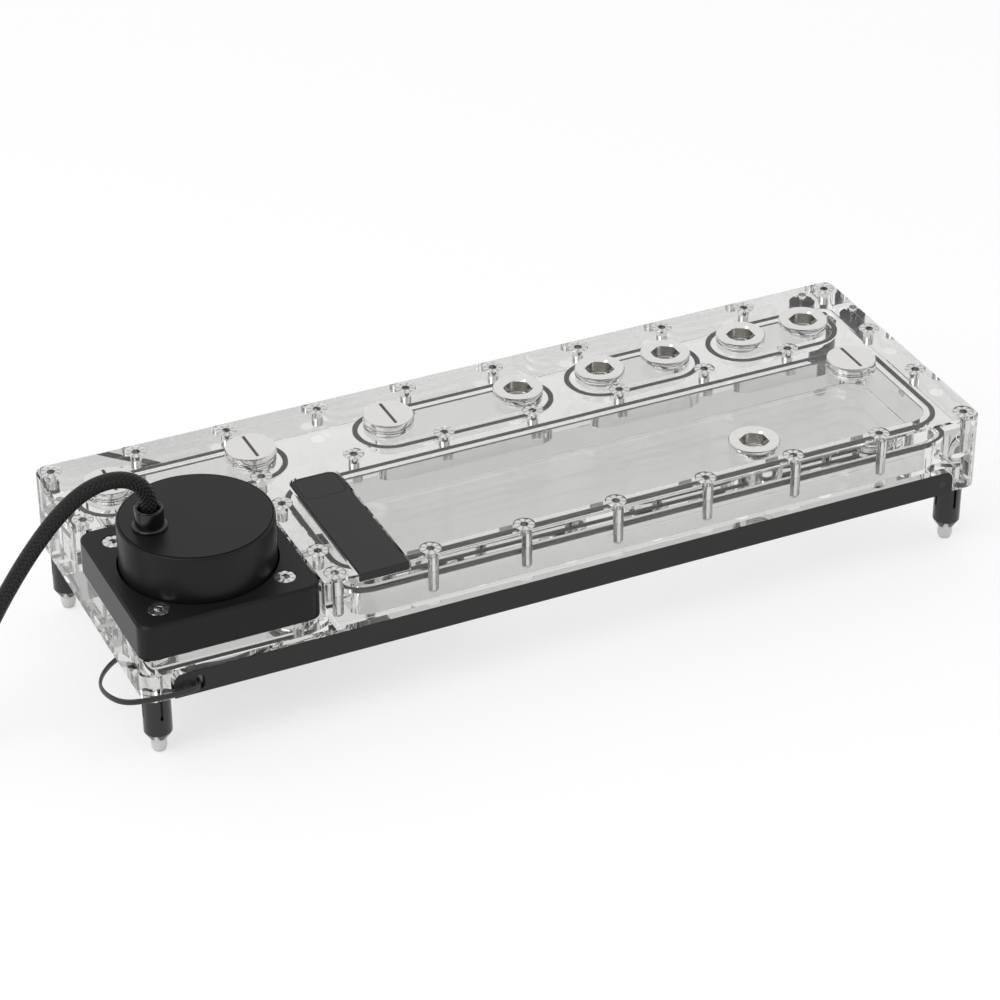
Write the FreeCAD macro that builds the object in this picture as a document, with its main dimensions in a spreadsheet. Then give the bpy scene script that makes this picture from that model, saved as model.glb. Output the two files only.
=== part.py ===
import FreeCAD, Part
import math
import os
import Sketcher

# Coolant pump reservoir: a clear acrylic block and lid hold a reservoir, four flow channels and a pump.
# Millimetres, +Z up, origin at the centre of the footprint on the surface that the feet stand on.
# Plate-like pieces are drawn with x from the block's left end, y from its front face.

doc = FreeCAD.newDocument("coolant_pump_reservoir")
sizes = doc.addObject("Spreadsheet::Sheet", "sizes")
V = FreeCAD.Vector

BLOCK = {
    "lower_height": 20.0, "plate_height": 10.0, "foot_gap": 25.0,
    "corner_radius": 4.0, "edge_chamfer": 0.6,
}
# Along the block: insets and spans between the plug and port centres.
ALONG = {
    "plug_inset": 20.5, "channel_one_span": 52.0, "channel_gap_one": 52.5, "channel_two_span": 51.0,
    "channel_gap_two": 33.0, "channel_three_span": 27.0, "channel_gap_three": 31.5,
    "channel_four_span": 26.5, "last_port_inset": 24.0,
}
# Across the block, from the front face: seal centre lines and the row of ports.
ACROSS = {
    "reservoir_front": 9.3, "rear_land": 2.5, "seal_row_gap": 8.6, "channel_width": 24.0,
    "channel_rear": 10.5, "reservoir_right": 10.0, "seal_corner": 11.0,
    "fill_plug_inset": 14.9, "return_port_inset": 10.2,
}
SEALS = {
    "seal_width": 1.8, "seal_height": 1.6, "groove_gap": 0.15, "cavity_inset": 3.2,
    "reservoir_deep": 12.0, "channel_deep": 12.0, "floor_ledge": 2.5, "floor_gap": 0.1,
}
# Lid screws: inset of the outer rows, land between the pump notch and its screws, shaft and head.
SCREWS = {
    "screw_inset": 5.0, "rear_screw_step": 31.2, "screw_land": 5.6, "seal_land": 4.5,
    "notch_screw_front": 14.7, "notch_screw_rear": 19.2,
    "screw_radius": 2.0, "screw_head_radius": 3.7, "screw_length": 16.0, "screw_gap": 0.12,
}
# Ports and plugs.
PORTS = {
    "flange_radius": 9.0, "flange_height": 3.0, "shank_radius": 6.5, "port_gap": 0.15,
    "port_ring_height": 1.6, "port_ring_width": 1.6, "adapter_rise": 0.5, "hex_flats": 9.2,
    "hex_deep": 5.0, "adapter_bore_radius": 4.4, "flange_chamfer": 0.5,
    "plug_rise": 2.4, "plug_slot_width": 1.2, "plug_slot_length": 14.6, "plug_slot_deep": 1.6,
}
# Pump, its clamp and seat.
PUMP_SIZES = {
    "clamp_margin": 0.1, "clamp_wall": 3.1, "clamp_thickness": 13.0, "clamp_corner": 5.0,
    "clamp_chamfer": 0.8, "notch_gap": 0.5, "seat_deep": 3.0, "clamp_screw_inset": 9.7,
    "can_radius": 26.5, "can_wall": 1.6, "can_top": 2.0, "can_height": 30.3, "can_bevel": 0.9,
    "can_gap": 0.7, "can_flange": 2.0, "can_flange_height": 3.0, "flange_gap": 0.3,
    "volute_land": 2.1, "volute_deep": 4.0, "inlet_radius": 2.0, "outlet_radius": 1.9,
    "eye_radius": 6.0, "inlet_level": 10.1, "housing_thickness": 3.0, "cup_radius": 13.0,
    "cup_wall": 1.4, "cup_height": 19.0, "housing_gap": 0.2, "pump_ring_inset": 3.3,
    "pump_ring_width": 1.5, "pump_ring_height": 1.0, "magnet_gap": 0.6, "magnet_height": 14.0,
    "shaft_radius": 1.5, "shaft_seat": 4.0, "bushing_radius": 3.0, "running_gap": 0.06,
    "impeller_side_gap": 2.5, "impeller_gap": 0.5, "disc_thickness": 1.0, "hub_margin": 2.0,
    "hub_height": 2.3, "blade_root": 6.0, "blade_thickness": 1.1, "blade_margin": 0.4,
    "stator_gap": 2.4, "stator_height": 11.0, "winding_radius": 2.6, "board_thickness": 1.6,
    "board_gap": 1.0,
    "gland_offset": 16.0, "gland_flange_radius": 6.0, "gland_radius": 5.0, "gland_height": 7.6,
    "gland_flange_height": 1.1, "gland_bore_radius": 3.3, "cable_radius": 2.8,
}
# Badge plate, front light bar and feet.
FITTINGS = {
    "badge_offset": 2.5, "badge_width": 18.0, "badge_length": 64.4, "badge_thickness": 3.0,
    "badge_corner": 4.0, "badge_gap": 0.4, "tile_length": 13.0, "tile_border": 1.4,
    "tile_thickness": 1.2, "tile_gap": 0.15,
    "bar_inset": 10.4, "bar_height": 8.9, "bar_thickness": 2.5, "bar_corner": 3.3,
    "bar_gap": 0.2, "light_recess": 5.4, "bar_screw_inset": 4.2, "bar_screw_height": 4.3,
    "bar_screw_radius": 1.0, "bar_screw_bite": 3.5, "bar_screw_gap": 0.12, "bar_head_radius": 1.75,
    "bar_head_height": 0.9, "bar_sink_deep": 1.0,
    "bar_slot_inset": 9.0, "bar_slot_width": 3.2, "bar_slot_height": 5.4, "bar_slot_level": 4.2,
    "strip_height": 6.0, "strip_thickness": 1.0, "strip_clear": 6.4, "chip_size": 5.0,
    "chip_thickness": 1.4, "light_cable_radius": 1.1,
    "foot_inset_x": 6.4, "foot_inset_y": 8.3, "foot_radius": 4.9, "foot_wall": 1.1,
    "foot_tip_height": 8.6, "foot_tip_radius": 2.7, "foot_web": 3.0, "stud_radius": 1.5,
    "stud_seat": 7.5, "foot_slot_width": 1.0, "foot_slot_length": 10.0, "fin_width": 1.2,
    "fin_gap": 0.15, "tip_stem": 4.0, "crown_height": 2.6, "crown_radius": 3.4,
}
# The put-away ends of the two cables: middle of the coil's turns, coil height, tail and connector.
CORDS = {
    "cord_gap": 0.05, "pump_coil_radius": 33.0, "pump_coil_height": 11.4, "pump_tail": 26.0,
    "pump_plug_length": 14.0, "pump_plug_width": 12.0, "pump_plug_height": 6.0,
    "light_coil_radius": 13.5, "light_coil_height": 8.9, "light_tail": 12.5,
    "light_plug_length": 12.0, "light_plug_width": 7.6, "light_plug_height": 3.0,
}

row = 0
for group_of_sizes in (BLOCK, ALONG, ACROSS, SEALS, SCREWS, PORTS, PUMP_SIZES, FITTINGS, CORDS):
    for alias, value in group_of_sizes.items():
        row += 1
        sizes.set(f"A{row}", alias)
        sizes.set(f"B{row}", str(value))
        sizes.setAlias(f"B{row}", alias)
doc.recompute()

# Expressions that several pieces share.
SPANS = ["plug_inset", "channel_one_span", "channel_gap_one", "channel_two_span", "channel_gap_two",
         "channel_three_span", "channel_gap_three", "channel_four_span"]
PORT_X = ["(" + " + ".join("sizes." + span for span in SPANS[:count + 1]) + ")" for count in range(8)]
LENGTH = f"({PORT_X[-1]} + sizes.last_port_inset)"
CAN_INNER = "(sizes.can_radius - sizes.can_wall)"
CAN_FLANGE = "(sizes.can_radius + sizes.can_flange)"
CLAMP_HALF = f"({CAN_FLANGE} + sizes.flange_gap + sizes.clamp_wall)"
PUMP_INSET = f"(sizes.clamp_margin + {CLAMP_HALF})"
PUMP = (PUMP_INSET, PUMP_INSET)
NOTCH = f"({PUMP_INSET} + {CLAMP_HALF} + sizes.notch_gap)"
REAR_SEAL = f"({NOTCH} + sizes.rear_land)"
PORT_Y = f"({REAR_SEAL} + sizes.seal_row_gap + sizes.channel_width / 2)"
DEPTH = f"({REAR_SEAL} + sizes.seal_row_gap + sizes.channel_width + sizes.channel_rear)"
NOTCH_SCREW_X = f"({NOTCH} + sizes.screw_land)"
LEFT_SEAL = f"({NOTCH_SCREW_X} + sizes.seal_land)"
RIGHT_SEAL = f"({LENGTH} - sizes.reservoir_right)"
SEAM = "(sizes.foot_gap + sizes.lower_height)"
TOP = f"({SEAM} + sizes.plate_height)"
SEAT = f"({SEAM} - sizes.seat_deep)"
PUMP_RING = f"({CAN_INNER} - sizes.pump_ring_inset)"
VOLUTE = f"({PUMP_RING} - sizes.volute_land)"
MIDDLE_ROW_Y = f"({REAR_SEAL} + sizes.seal_row_gap / 2)"
CORNER = (f"-{LENGTH} / 2", f"-{DEPTH} / 2")
SCREW_COLUMNS = 7
FOOT_FINS = 6
BLADES = 7
BLADE_SWEEP = 38
LIGHT_CHIPS = 16


def number(expression):
    return float(sizes.evalExpression(expression))


def spot(x, y, level):
    """A point given from the block's left end and front face, in the part's own frame."""
    return tuple([f"{CORNER[0]} + {x}", f"{CORNER[1]} + {y}", level])


# Helpers for bodies, sketches and features.

def new_body(label, place=("0", "0", "0")):
    body = doc.addObject("PartDesign::Body", label)
    body.Label = label
    move(body, place)
    return body


def move(item, place):
    for axis, expression in zip("xyz", place):
        item.setExpression(f"Placement.Base.{axis}", expression)


def new_sketch(body, name, plane="XY_Plane", offset="0"):
    sketch = body.newObject("Sketcher::SketchObject", name)
    support = next(item for item in body.Origin.OriginFeatures if item.Role == plane)
    sketch.AttachmentSupport = [(support, "")]
    sketch.MapMode = "FlatFace"
    sketch.setExpression("AttachmentOffset.Base.z", offset)
    return sketch


def bind(sketch, kind, where, expression):
    index = sketch.addConstraint(Sketcher.Constraint(kind, *where, number(expression)))
    sketch.renameConstraint(index, f"size_{index}")
    sketch.setExpression(f"Constraints.size_{index}", expression)


def pin_point(sketch, geometry, point, x, y):
    """Holds a point of the sketch at x and y from its origin, on an axis where the value is 0."""
    for kind, axis, expression in (("DistanceX", -2, x), ("DistanceY", -1, y)):
        if expression == "0":
            sketch.addConstraint(Sketcher.Constraint("PointOnObject", geometry, point, axis))
        else:
            bind(sketch, kind, (-1, 1, geometry, point), expression)


def circle(sketch, x, y, radius):
    centre = V(number(x), number(y), 0)
    index = sketch.addGeometry(Part.Circle(centre, V(0, 0, 1), number(radius)))
    pin_point(sketch, index, 3, x, y)
    bind(sketch, "Radius", (index,), radius)


def circles(sketch, places, radius):
    """Equal circles, the first of which carries the radius."""
    circle(sketch, places[0][0], places[0][1], radius)
    for x, y in places[1:]:
        centre = V(number(x), number(y), 0)
        index = sketch.addGeometry(Part.Circle(centre, V(0, 0, 1), number(radius)))
        pin_point(sketch, index, 3, x, y)
        sketch.addConstraint(Sketcher.Constraint("Equal", 0, index))


def polygon(sketch, points):
    """A closed outline of straight lines through points given as expressions."""
    corners = [V(number(x), number(y), 0) for x, y in points]
    first = sketch.GeometryCount
    count = len(points)
    for step, corner in enumerate(corners):
        sketch.addGeometry(Part.LineSegment(corner, corners[(step + 1) % count]))
    for step in range(count):
        after = first + (step + 1) % count
        sketch.addConstraint(Sketcher.Constraint("Coincident", first + step, 2, after, 1))
    for step, (x, y) in enumerate(points):
        pin_point(sketch, first + step, 1, x, y)


def rounded_rectangle(sketch, left, front, width, depth, radius):
    """A rectangle with four equal round corners, its low corner at left, front."""
    x0, y0, r = number(left), number(front), number(radius)
    x1, y1 = x0 + number(width), y0 + number(depth)
    first = sketch.GeometryCount
    ends = [((x0 + r, y0), (x1 - r, y0)), ((x1, y0 + r), (x1, y1 - r)),
            ((x1 - r, y1), (x0 + r, y1)), ((x0, y1 - r), (x0, y0 + r))]
    for start, end in ends:
        sketch.addGeometry(Part.LineSegment(V(*start, 0), V(*end, 0)))
    centres = [(x1 - r, y0 + r), (x1 - r, y1 - r), (x0 + r, y1 - r), (x0 + r, y0 + r)]
    for step, centre in enumerate(centres):
        turn = math.radians(270 + 90 * step)
        ring = Part.Circle(V(*centre, 0), V(0, 0, 1), r)
        sketch.addGeometry(Part.ArcOfCircle(ring, turn, turn + math.pi / 2))
    for step in range(4):
        line, arc, after = first + step, first + 4 + step, first + (step + 1) % 4
        sketch.addConstraint(Sketcher.Constraint("Tangent", line, 2, arc, 1))
        sketch.addConstraint(Sketcher.Constraint("Tangent", arc, 2, after, 1))
        kind = "Horizontal" if step % 2 == 0 else "Vertical"
        sketch.addConstraint(Sketcher.Constraint(kind, line))
        if step:
            sketch.addConstraint(Sketcher.Constraint("Equal", first + 4, arc))
    bind(sketch, "Radius", (first + 4,), radius)
    bind(sketch, "DistanceX", (-1, 1, first + 3, 1), left)
    bind(sketch, "DistanceY", (-1, 1, first, 1), front)
    bind(sketch, "DistanceX", (-1, 1, first + 1, 1), f"{left} + {width}")
    bind(sketch, "DistanceY", (-1, 1, first + 2, 1), f"{front} + {depth}")


def stadium(sketch, start, end, y, radius):
    """A slot with round ends about start and end, both at y."""
    x0, x1, level, r = number(start), number(end), number(y), number(radius)
    first = sketch.GeometryCount
    sketch.addGeometry(Part.LineSegment(V(x0, level - r, 0), V(x1, level - r, 0)))
    sketch.addGeometry(Part.LineSegment(V(x1, level + r, 0), V(x0, level + r, 0)))
    for centre, turn in ((x1, 1.5 * math.pi), (x0, 0.5 * math.pi)):
        ring = Part.Circle(V(centre, level, 0), V(0, 0, 1), r)
        sketch.addGeometry(Part.ArcOfCircle(ring, turn, turn + math.pi))
    low, high, right, left = first, first + 1, first + 2, first + 3
    for one, other in ((low, right), (right, high), (high, left), (left, low)):
        sketch.addConstraint(Sketcher.Constraint("Tangent", one, 2, other, 1))
    sketch.addConstraint(Sketcher.Constraint("Equal", right, left))
    bind(sketch, "Radius", (right,), radius)
    pin_point(sketch, right, 3, end, y)
    pin_point(sketch, left, 3, start, y)


def extrude(body, kind, name, sketch, length, reverse=False, midplane=False):
    feature = body.newObject("PartDesign::" + kind, name)
    feature.Profile = sketch
    feature.setExpression("Length", length)
    feature.Reversed = reverse
    feature.Midplane = midplane
    body.Tip = feature
    return feature


def pad(body, name, sketch, length, **more):
    return extrude(body, "Pad", name, sketch, length, **more)


def pocket(body, name, sketch, length, **more):
    """Cuts a pocket and stops if it removed nothing."""
    doc.recompute()
    before = body.Shape.Volume
    feature = extrude(body, "Pocket", name, sketch, length, **more)
    doc.recompute()
    if body.Shape.Volume >= before - 1e-6:
        raise ValueError(f"{body.Label}: {name} cuts nothing")
    return feature


def revolve(body, name, points):
    """A turned form about the body's Z axis from an outline of radius and height."""
    sketch = new_sketch(body, name + "_outline", "XZ_Plane")
    polygon(sketch, points)
    feature = body.newObject("PartDesign::Revolution", name)
    feature.Profile = sketch
    feature.ReferenceAxis = (sketch, ["V_Axis"])
    feature.Angle = 360
    body.Tip = feature
    return feature


def polar(body, name, feature, count):
    pattern = body.newObject("PartDesign::PolarPattern", name)
    pattern.Originals = [feature]
    axis = next(item for item in body.Origin.OriginFeatures if item.Role == "Z_Axis")
    pattern.Axis = (axis, [""])
    pattern.Angle = 360
    pattern.Occurrences = count
    body.Tip = pattern
    return pattern


def dress(body, kind, name, base, size, wanted):
    """A chamfer or fillet on the edges of the base feature for which wanted says yes."""
    doc.recompute()
    edges = [f"Edge{index}" for index, edge in enumerate(base.Shape.Edges, 1) if wanted(edge)]
    feature = body.newObject("PartDesign::" + kind, name)
    feature.Base = (base, edges)
    feature.setExpression("Size" if kind == "Chamfer" else "Radius", size)
    body.Tip = feature
    return feature


def at_height(level):
    height = number(level)
    return lambda edge: all(abs(vertex.Z - height) < 1e-4 for vertex in edge.Vertexes)


def group(label, seed, places):
    """Separate copies of a seed piece's shape, as one node."""
    doc.recompute()
    copies = []
    for place in places:
        copy = seed.Shape.copy()
        copy.translate(V(*(number(expression) for expression in place)))
        copies.append(copy)
    node = doc.addObject("Part::Feature", label)
    node.Label = label
    node.Shape = Part.makeCompound(copies)
    return node


# Places that plates, seals, screws and ports share.

def column_x(step):
    run = f"({LENGTH} - sizes.screw_inset - {NOTCH_SCREW_X})"
    return f"({NOTCH_SCREW_X} + {step} * {run} / {SCREW_COLUMNS})"


COLUMNS = [column_x(step) for step in range(SCREW_COLUMNS + 1)]
SCREW_PLACES = (
    [("sizes.screw_inset", f"{DEPTH} - sizes.screw_inset"),
     ("sizes.screw_inset + sizes.rear_screw_step", f"{DEPTH} - sizes.screw_inset"),
     ("sizes.screw_inset", MIDDLE_ROW_Y)]
    + [(x, f"{DEPTH} - sizes.screw_inset") for x in COLUMNS]
    + [(x, MIDDLE_ROW_Y) for x in COLUMNS]
    + [(x, "sizes.screw_inset") for x in COLUMNS]
    + [(COLUMNS[-1], f"(sizes.screw_inset + {MIDDLE_ROW_Y}) / 2")]
    + [(COLUMNS[0], "(sizes.screw_inset + sizes.notch_screw_front)"),
       (COLUMNS[0], f"({MIDDLE_ROW_Y} - sizes.notch_screw_rear)")]
)
PLUG_PLACES = {
    "stop_plug_left": (PORT_X[0], PORT_Y), "stop_plug_pump": (PORT_X[1], PORT_Y),
    "stop_plug_middle": (PORT_X[2], PORT_Y),
    "fill_plug": (PORT_X[7], f"({REAR_SEAL} - sizes.fill_plug_inset)"),
}
ADAPTER_PLACES = [(PORT_X[step], PORT_Y) for step in range(3, 8)]
ADAPTER_PLACES.append((PORT_X[5], "(sizes.reservoir_front + sizes.return_port_inset)"))
PORT_PLACES = list(PLUG_PLACES.values()) + ADAPTER_PLACES
CHANNELS = [(PORT_X[0], PORT_X[1]), (PORT_X[2], PORT_X[3]), (PORT_X[4], PORT_X[5]), (PORT_X[6], PORT_X[7])]
CHANNEL_NAMES = ["pump_channel_seal", "second_channel_seal", "third_channel_seal", "right_channel_seal"]
CLAMP_REACH = f"({CLAMP_HALF} - sizes.clamp_screw_inset)"
CLAMP_SCREW_PLACES = [
    (f"({PUMP_INSET} {x} {CLAMP_REACH})", f"({PUMP_INSET} {y} {CLAMP_REACH})")
    for x in "-+" for y in "-+"]
FOOT_PLACES = [
    (x, y) for x in ("sizes.foot_inset_x", f"({LENGTH} - sizes.foot_inset_x)")
    for y in ("sizes.foot_inset_y", f"({DEPTH} - sizes.foot_inset_y)")]
BAR_SCREW_PLACES = [
    (x, "sizes.bar_screw_height") for x in
    ("(sizes.bar_inset + sizes.bar_screw_inset)", f"({LENGTH} - sizes.bar_inset - sizes.bar_screw_inset)")]
RING_GAP = "(sizes.shank_radius + sizes.port_gap)"
PORT_SINK = "(sizes.flange_height - sizes.adapter_rise + sizes.port_ring_height)"


def seal_outline(sketch, inset):
    """The reservoir seal's centre line, moved inwards by inset."""
    rounded_rectangle(
        sketch, f"({LEFT_SEAL} + {inset})", f"(sizes.reservoir_front + {inset})",
        f"({RIGHT_SEAL} - {LEFT_SEAL} - 2 * ({inset}))",
        f"({REAR_SEAL} - sizes.reservoir_front - 2 * ({inset}))",
        f"(sizes.seal_corner - ({inset}))")


def channel_outline(sketch, channel, inset):
    stadium(sketch, channel[0], channel[1], PORT_Y, f"(sizes.channel_width / 2 - ({inset}))")


def notch_outline(sketch):
    """The pump's corner, open to the left and the front."""
    rounded_rectangle(sketch, "-20", "-20", f"({NOTCH} + 20)", f"({NOTCH} + 20)", "sizes.clamp_corner")


def block_outline(sketch):
    rounded_rectangle(sketch, "0.0", "0.0", LENGTH, DEPTH, "sizes.corner_radius")


GROOVE = "(sizes.seal_width / 2 + sizes.groove_gap)"
SCREW_HOLE = "(sizes.screw_radius + sizes.screw_gap)"
FLOOR_THICKNESS = "(sizes.lower_height - sizes.reservoir_deep)"


def make_lower_block():
    body = new_body("lower_block", (*CORNER, "sizes.foot_gap"))
    outline = new_sketch(body, "block_outline")
    block_outline(outline)
    base = pad(body, "block", outline, "sizes.lower_height")
    dress(body, "Chamfer", "lower_edge", base, "sizes.edge_chamfer", at_height("0"))
    top = "sizes.lower_height"

    def sunk(name, draw, deep, level=top):
        sketch = new_sketch(body, name + "_outline", offset=level)
        draw(sketch)
        pocket(body, name, sketch, deep)

    sunk("pump_seat", notch_outline, "sizes.seat_deep")
    sunk("reservoir", lambda sketch: seal_outline(sketch, "sizes.cavity_inset"), "sizes.lower_height + 1")
    sunk("channels", lambda sketch: [
        channel_outline(sketch, channel, "sizes.cavity_inset") for channel in CHANNELS],
        "sizes.channel_deep")

    def grooves(sketch):
        for side in (f"-{GROOVE}", GROOVE):
            seal_outline(sketch, side)
            for channel in CHANNELS:
                channel_outline(sketch, channel, side)

    sunk("seal_grooves", grooves, "sizes.seal_height")
    seat = f"({top} - sizes.seat_deep)"
    sunk("volute", lambda sketch: circle(sketch, *PUMP, VOLUTE), "sizes.volute_deep", seat)
    sunk("inlet_eye", lambda sketch: circle(sketch, *PUMP, "sizes.eye_radius"),
         f"({seat} - sizes.inlet_level + sizes.inlet_radius)", seat)

    def ring_groove(sketch):
        circle(sketch, *PUMP, f"({PUMP_RING} - sizes.groove_gap)")
        circle(sketch, *PUMP, f"({PUMP_RING} + sizes.pump_ring_width + sizes.groove_gap)")

    sunk("pump_ring_groove", ring_groove, "sizes.pump_ring_height", seat)
    sunk("screw_holes", lambda sketch: circles(sketch, SCREW_PLACES, SCREW_HOLE),
         "sizes.screw_length - sizes.plate_height + 2")
    sunk("clamp_screw_holes", lambda sketch: circles(sketch, CLAMP_SCREW_PLACES, SCREW_HOLE),
         "sizes.screw_length + 1 - sizes.clamp_thickness + 5", seat)

    inlet = new_sketch(body, "inlet_outline", "YZ_Plane", PUMP_INSET)
    circle(inlet, PUMP_INSET, "sizes.inlet_level", "sizes.inlet_radius")
    pocket(body, "inlet", inlet, f"{LEFT_SEAL} + sizes.cavity_inset - {PUMP_INSET} + 2", reverse=True)
    outlet = new_sketch(body, "outlet_outline", "XZ_Plane", f"-{PUMP_INSET}")
    circle(outlet, f"{PUMP_INSET} - {VOLUTE} + sizes.outlet_radius",
           f"{seat} - sizes.pump_ring_height - 0.3 - sizes.outlet_radius", "sizes.outlet_radius")
    pocket(body, "outlet", outlet,
           f"{PORT_Y} - sizes.channel_width / 2 + sizes.cavity_inset - {PUMP_INSET} + 3")

    recess = new_sketch(body, "light_recess_outline", "XZ_Plane")
    rounded_rectangle(recess, "(sizes.bar_inset - sizes.bar_gap)", "-6",
                      f"({LENGTH} - 2 * sizes.bar_inset + 2 * sizes.bar_gap)",
                      "(sizes.bar_height + sizes.bar_gap + 6)", "sizes.bar_corner")
    pocket(body, "light_recess", recess, "sizes.light_recess")
    bar_screws = new_sketch(body, "bar_screw_outline", "XZ_Plane", "-sizes.light_recess")
    circles(bar_screws, BAR_SCREW_PLACES, "sizes.bar_screw_radius + sizes.bar_screw_gap")
    pocket(body, "bar_screw_holes", bar_screws, "sizes.bar_screw_bite + 0.5")
    studs = new_sketch(body, "stud_outline", offset="0")
    circles(studs, FOOT_PLACES, "sizes.stud_radius + 0.1")
    pocket(body, "stud_holes", studs, "sizes.stud_seat + 0.5", reverse=True)
    rebate = new_sketch(body, "floor_rebate_outline", offset="0")
    seal_outline(rebate, "(sizes.cavity_inset - sizes.floor_ledge)")
    pocket(body, "floor_rebate", rebate, FLOOR_THICKNESS, reverse=True)
    return body


def make_reservoir_floor():
    """The clear sheet bonded into the block's underside, which closes the reservoir from below."""
    body = new_body("reservoir_floor", (*CORNER, "sizes.foot_gap"))
    outline = new_sketch(body, "floor_outline")
    seal_outline(outline, "(sizes.cavity_inset - sizes.floor_ledge + sizes.floor_gap)")
    pad(body, "floor", outline, FLOOR_THICKNESS)
    return body


def make_top_plate():
    body = new_body("top_plate", (*CORNER, SEAM))
    outline = new_sketch(body, "plate_outline")
    block_outline(outline)
    base = pad(body, "plate", outline, "sizes.plate_height")
    dress(body, "Chamfer", "upper_edge", base, "sizes.edge_chamfer", at_height("sizes.plate_height"))
    notch = new_sketch(body, "notch_outline", offset="sizes.plate_height")
    notch_outline(notch)
    pocket(body, "pump_notch", notch, "sizes.plate_height + 1")
    badge = new_sketch(body, "badge_pocket_outline", offset="sizes.plate_height")
    rounded_rectangle(badge, f"({LEFT_SEAL} + sizes.badge_offset - sizes.badge_gap)", "-8",
                      "(sizes.badge_width + 2 * sizes.badge_gap)",
                      "(sizes.badge_length + sizes.badge_gap + 8)", "sizes.badge_corner")
    pocket(body, "badge_pocket", badge, "sizes.badge_thickness")
    sink = new_sketch(body, "port_sink_outline", offset="sizes.plate_height")
    circles(sink, PORT_PLACES, "sizes.flange_radius + sizes.port_gap")
    pocket(body, "port_sinks", sink, PORT_SINK)
    through = new_sketch(body, "port_hole_outline", offset="sizes.plate_height")
    circles(through, PORT_PLACES, RING_GAP)
    pocket(body, "port_holes", through, "sizes.plate_height + 1")
    heads = new_sketch(body, "screw_outline", offset="sizes.plate_height")
    circles(heads, SCREW_PLACES, SCREW_HOLE)
    doc.recompute()
    holes = body.newObject("PartDesign::Hole", "screw_holes")
    holes.Profile = heads
    body.Tip = holes
    holes.Threaded = False
    holes.ThreadType = "None"
    holes.DepthType = "ThroughAll"
    holes.DrillPoint = "Flat"
    holes.HoleCutType = "Countersink"
    holes.HoleCutCustomValues = True
    holes.setExpression("Diameter", f"2 * {SCREW_HOLE}")
    holes.setExpression("HoleCutDiameter", "2 * (sizes.screw_head_radius + sizes.screw_gap)")
    holes.HoleCutCountersinkAngle = 90
    doc.recompute()
    return body


def make_seal(label, draw):
    """A flat ring of seal cord that fills its groove from the floor to the lid."""
    body = new_body(label, (*CORNER, f"{SEAM} - sizes.seal_height"))
    outline = new_sketch(body, "cord_outline")
    for side in ("-sizes.seal_width / 2", "sizes.seal_width / 2"):
        draw(outline, side)
    pad(body, "cord", outline, "sizes.seal_height")
    return body


def make_screw(label, length, radius, head_radius):
    """A countersunk screw with its head's top at height 0."""
    body = new_body(label)
    taper = f"({head_radius} - {radius})"
    revolve(body, "screw", [
        ("0", "0"), (head_radius, "0"), (radius, f"-{taper}"), (radius, f"-{length}"), ("0", f"-{length}")])
    return body


def make_adapter(label, x, y):
    """A flanged port adapter with a hexagon drive in its mouth and a round bore below."""
    rise = "sizes.adapter_rise"
    body = new_body(label, spot(x, y, TOP))
    under = f"({rise} - sizes.flange_height)"
    revolve(body, "turning", [
        ("sizes.adapter_bore_radius", rise), ("sizes.flange_radius - sizes.flange_chamfer", rise),
        ("sizes.flange_radius", f"{rise} - sizes.flange_chamfer"), ("sizes.flange_radius", under),
        ("sizes.shank_radius", under), ("sizes.shank_radius", "-sizes.plate_height"),
        ("sizes.adapter_bore_radius", "-sizes.plate_height")])
    drive = new_sketch(body, "hexagon", offset=rise)
    corner = "sizes.hex_flats / (2 * cos(30))"
    flat = "sizes.hex_flats / 2"
    polygon(drive, [
        ("0", f"-{corner}"), (flat, f"-{corner} / 2"), (flat, f"{corner} / 2"),
        ("0", corner), (f"-{flat}", f"{corner} / 2"), (f"-{flat}", f"-{corner} / 2")])
    pocket(body, "hexagon_drive", drive, "sizes.hex_deep")
    return body


def make_plug(label, x, y):
    """A round stop plug with a coin slot across its head."""
    rise = "sizes.plug_rise"
    body = new_body(label, spot(x, y, TOP))
    under = "(sizes.adapter_rise - sizes.flange_height)"
    revolve(body, "turning", [
        ("0", rise), ("sizes.flange_radius - sizes.flange_chamfer", rise),
        ("sizes.flange_radius", f"{rise} - sizes.flange_chamfer"), ("sizes.flange_radius", under),
        ("sizes.shank_radius", under), ("sizes.shank_radius", "-sizes.plate_height"),
        ("0", "-sizes.plate_height")])
    slot = new_sketch(body, "slot_outline", offset=rise)
    half = "sizes.plug_slot_width / 2"
    reach = "sizes.plug_slot_length / 2"
    polygon(slot, [(f"-{half}", f"-{reach}"), (half, f"-{reach}"), (half, reach), (f"-{half}", reach)])
    pocket(body, "coin_slot", slot, "sizes.plug_slot_deep")
    return body


def make_ring(label, place, inner, width, height):
    """A seal ring of square section round the Z axis."""
    body = new_body(label, place)
    revolve(body, "ring", [
        (inner, "0"), (f"{inner} + {width}", "0"), (f"{inner} + {width}", height), (inner, height)])
    return body


def port_ring(label, place):
    return make_ring(label, place, RING_GAP, "sizes.port_ring_width", "sizes.port_ring_height")


nodes = [make_lower_block(), make_reservoir_floor(), make_top_plate()]
nodes.append(make_seal("reservoir_seal", seal_outline))
for seal_name, channel in zip(CHANNEL_NAMES, CHANNELS):
    nodes.append(make_seal(
        seal_name, lambda sketch, inset, run=channel: channel_outline(sketch, run, inset)))

screw = make_screw("screw_pattern", "sizes.screw_length", "sizes.screw_radius", "sizes.screw_head_radius")
nodes.append(group("plate_screws", screw, [spot(x, y, TOP) for x, y in SCREW_PLACES]))

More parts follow.
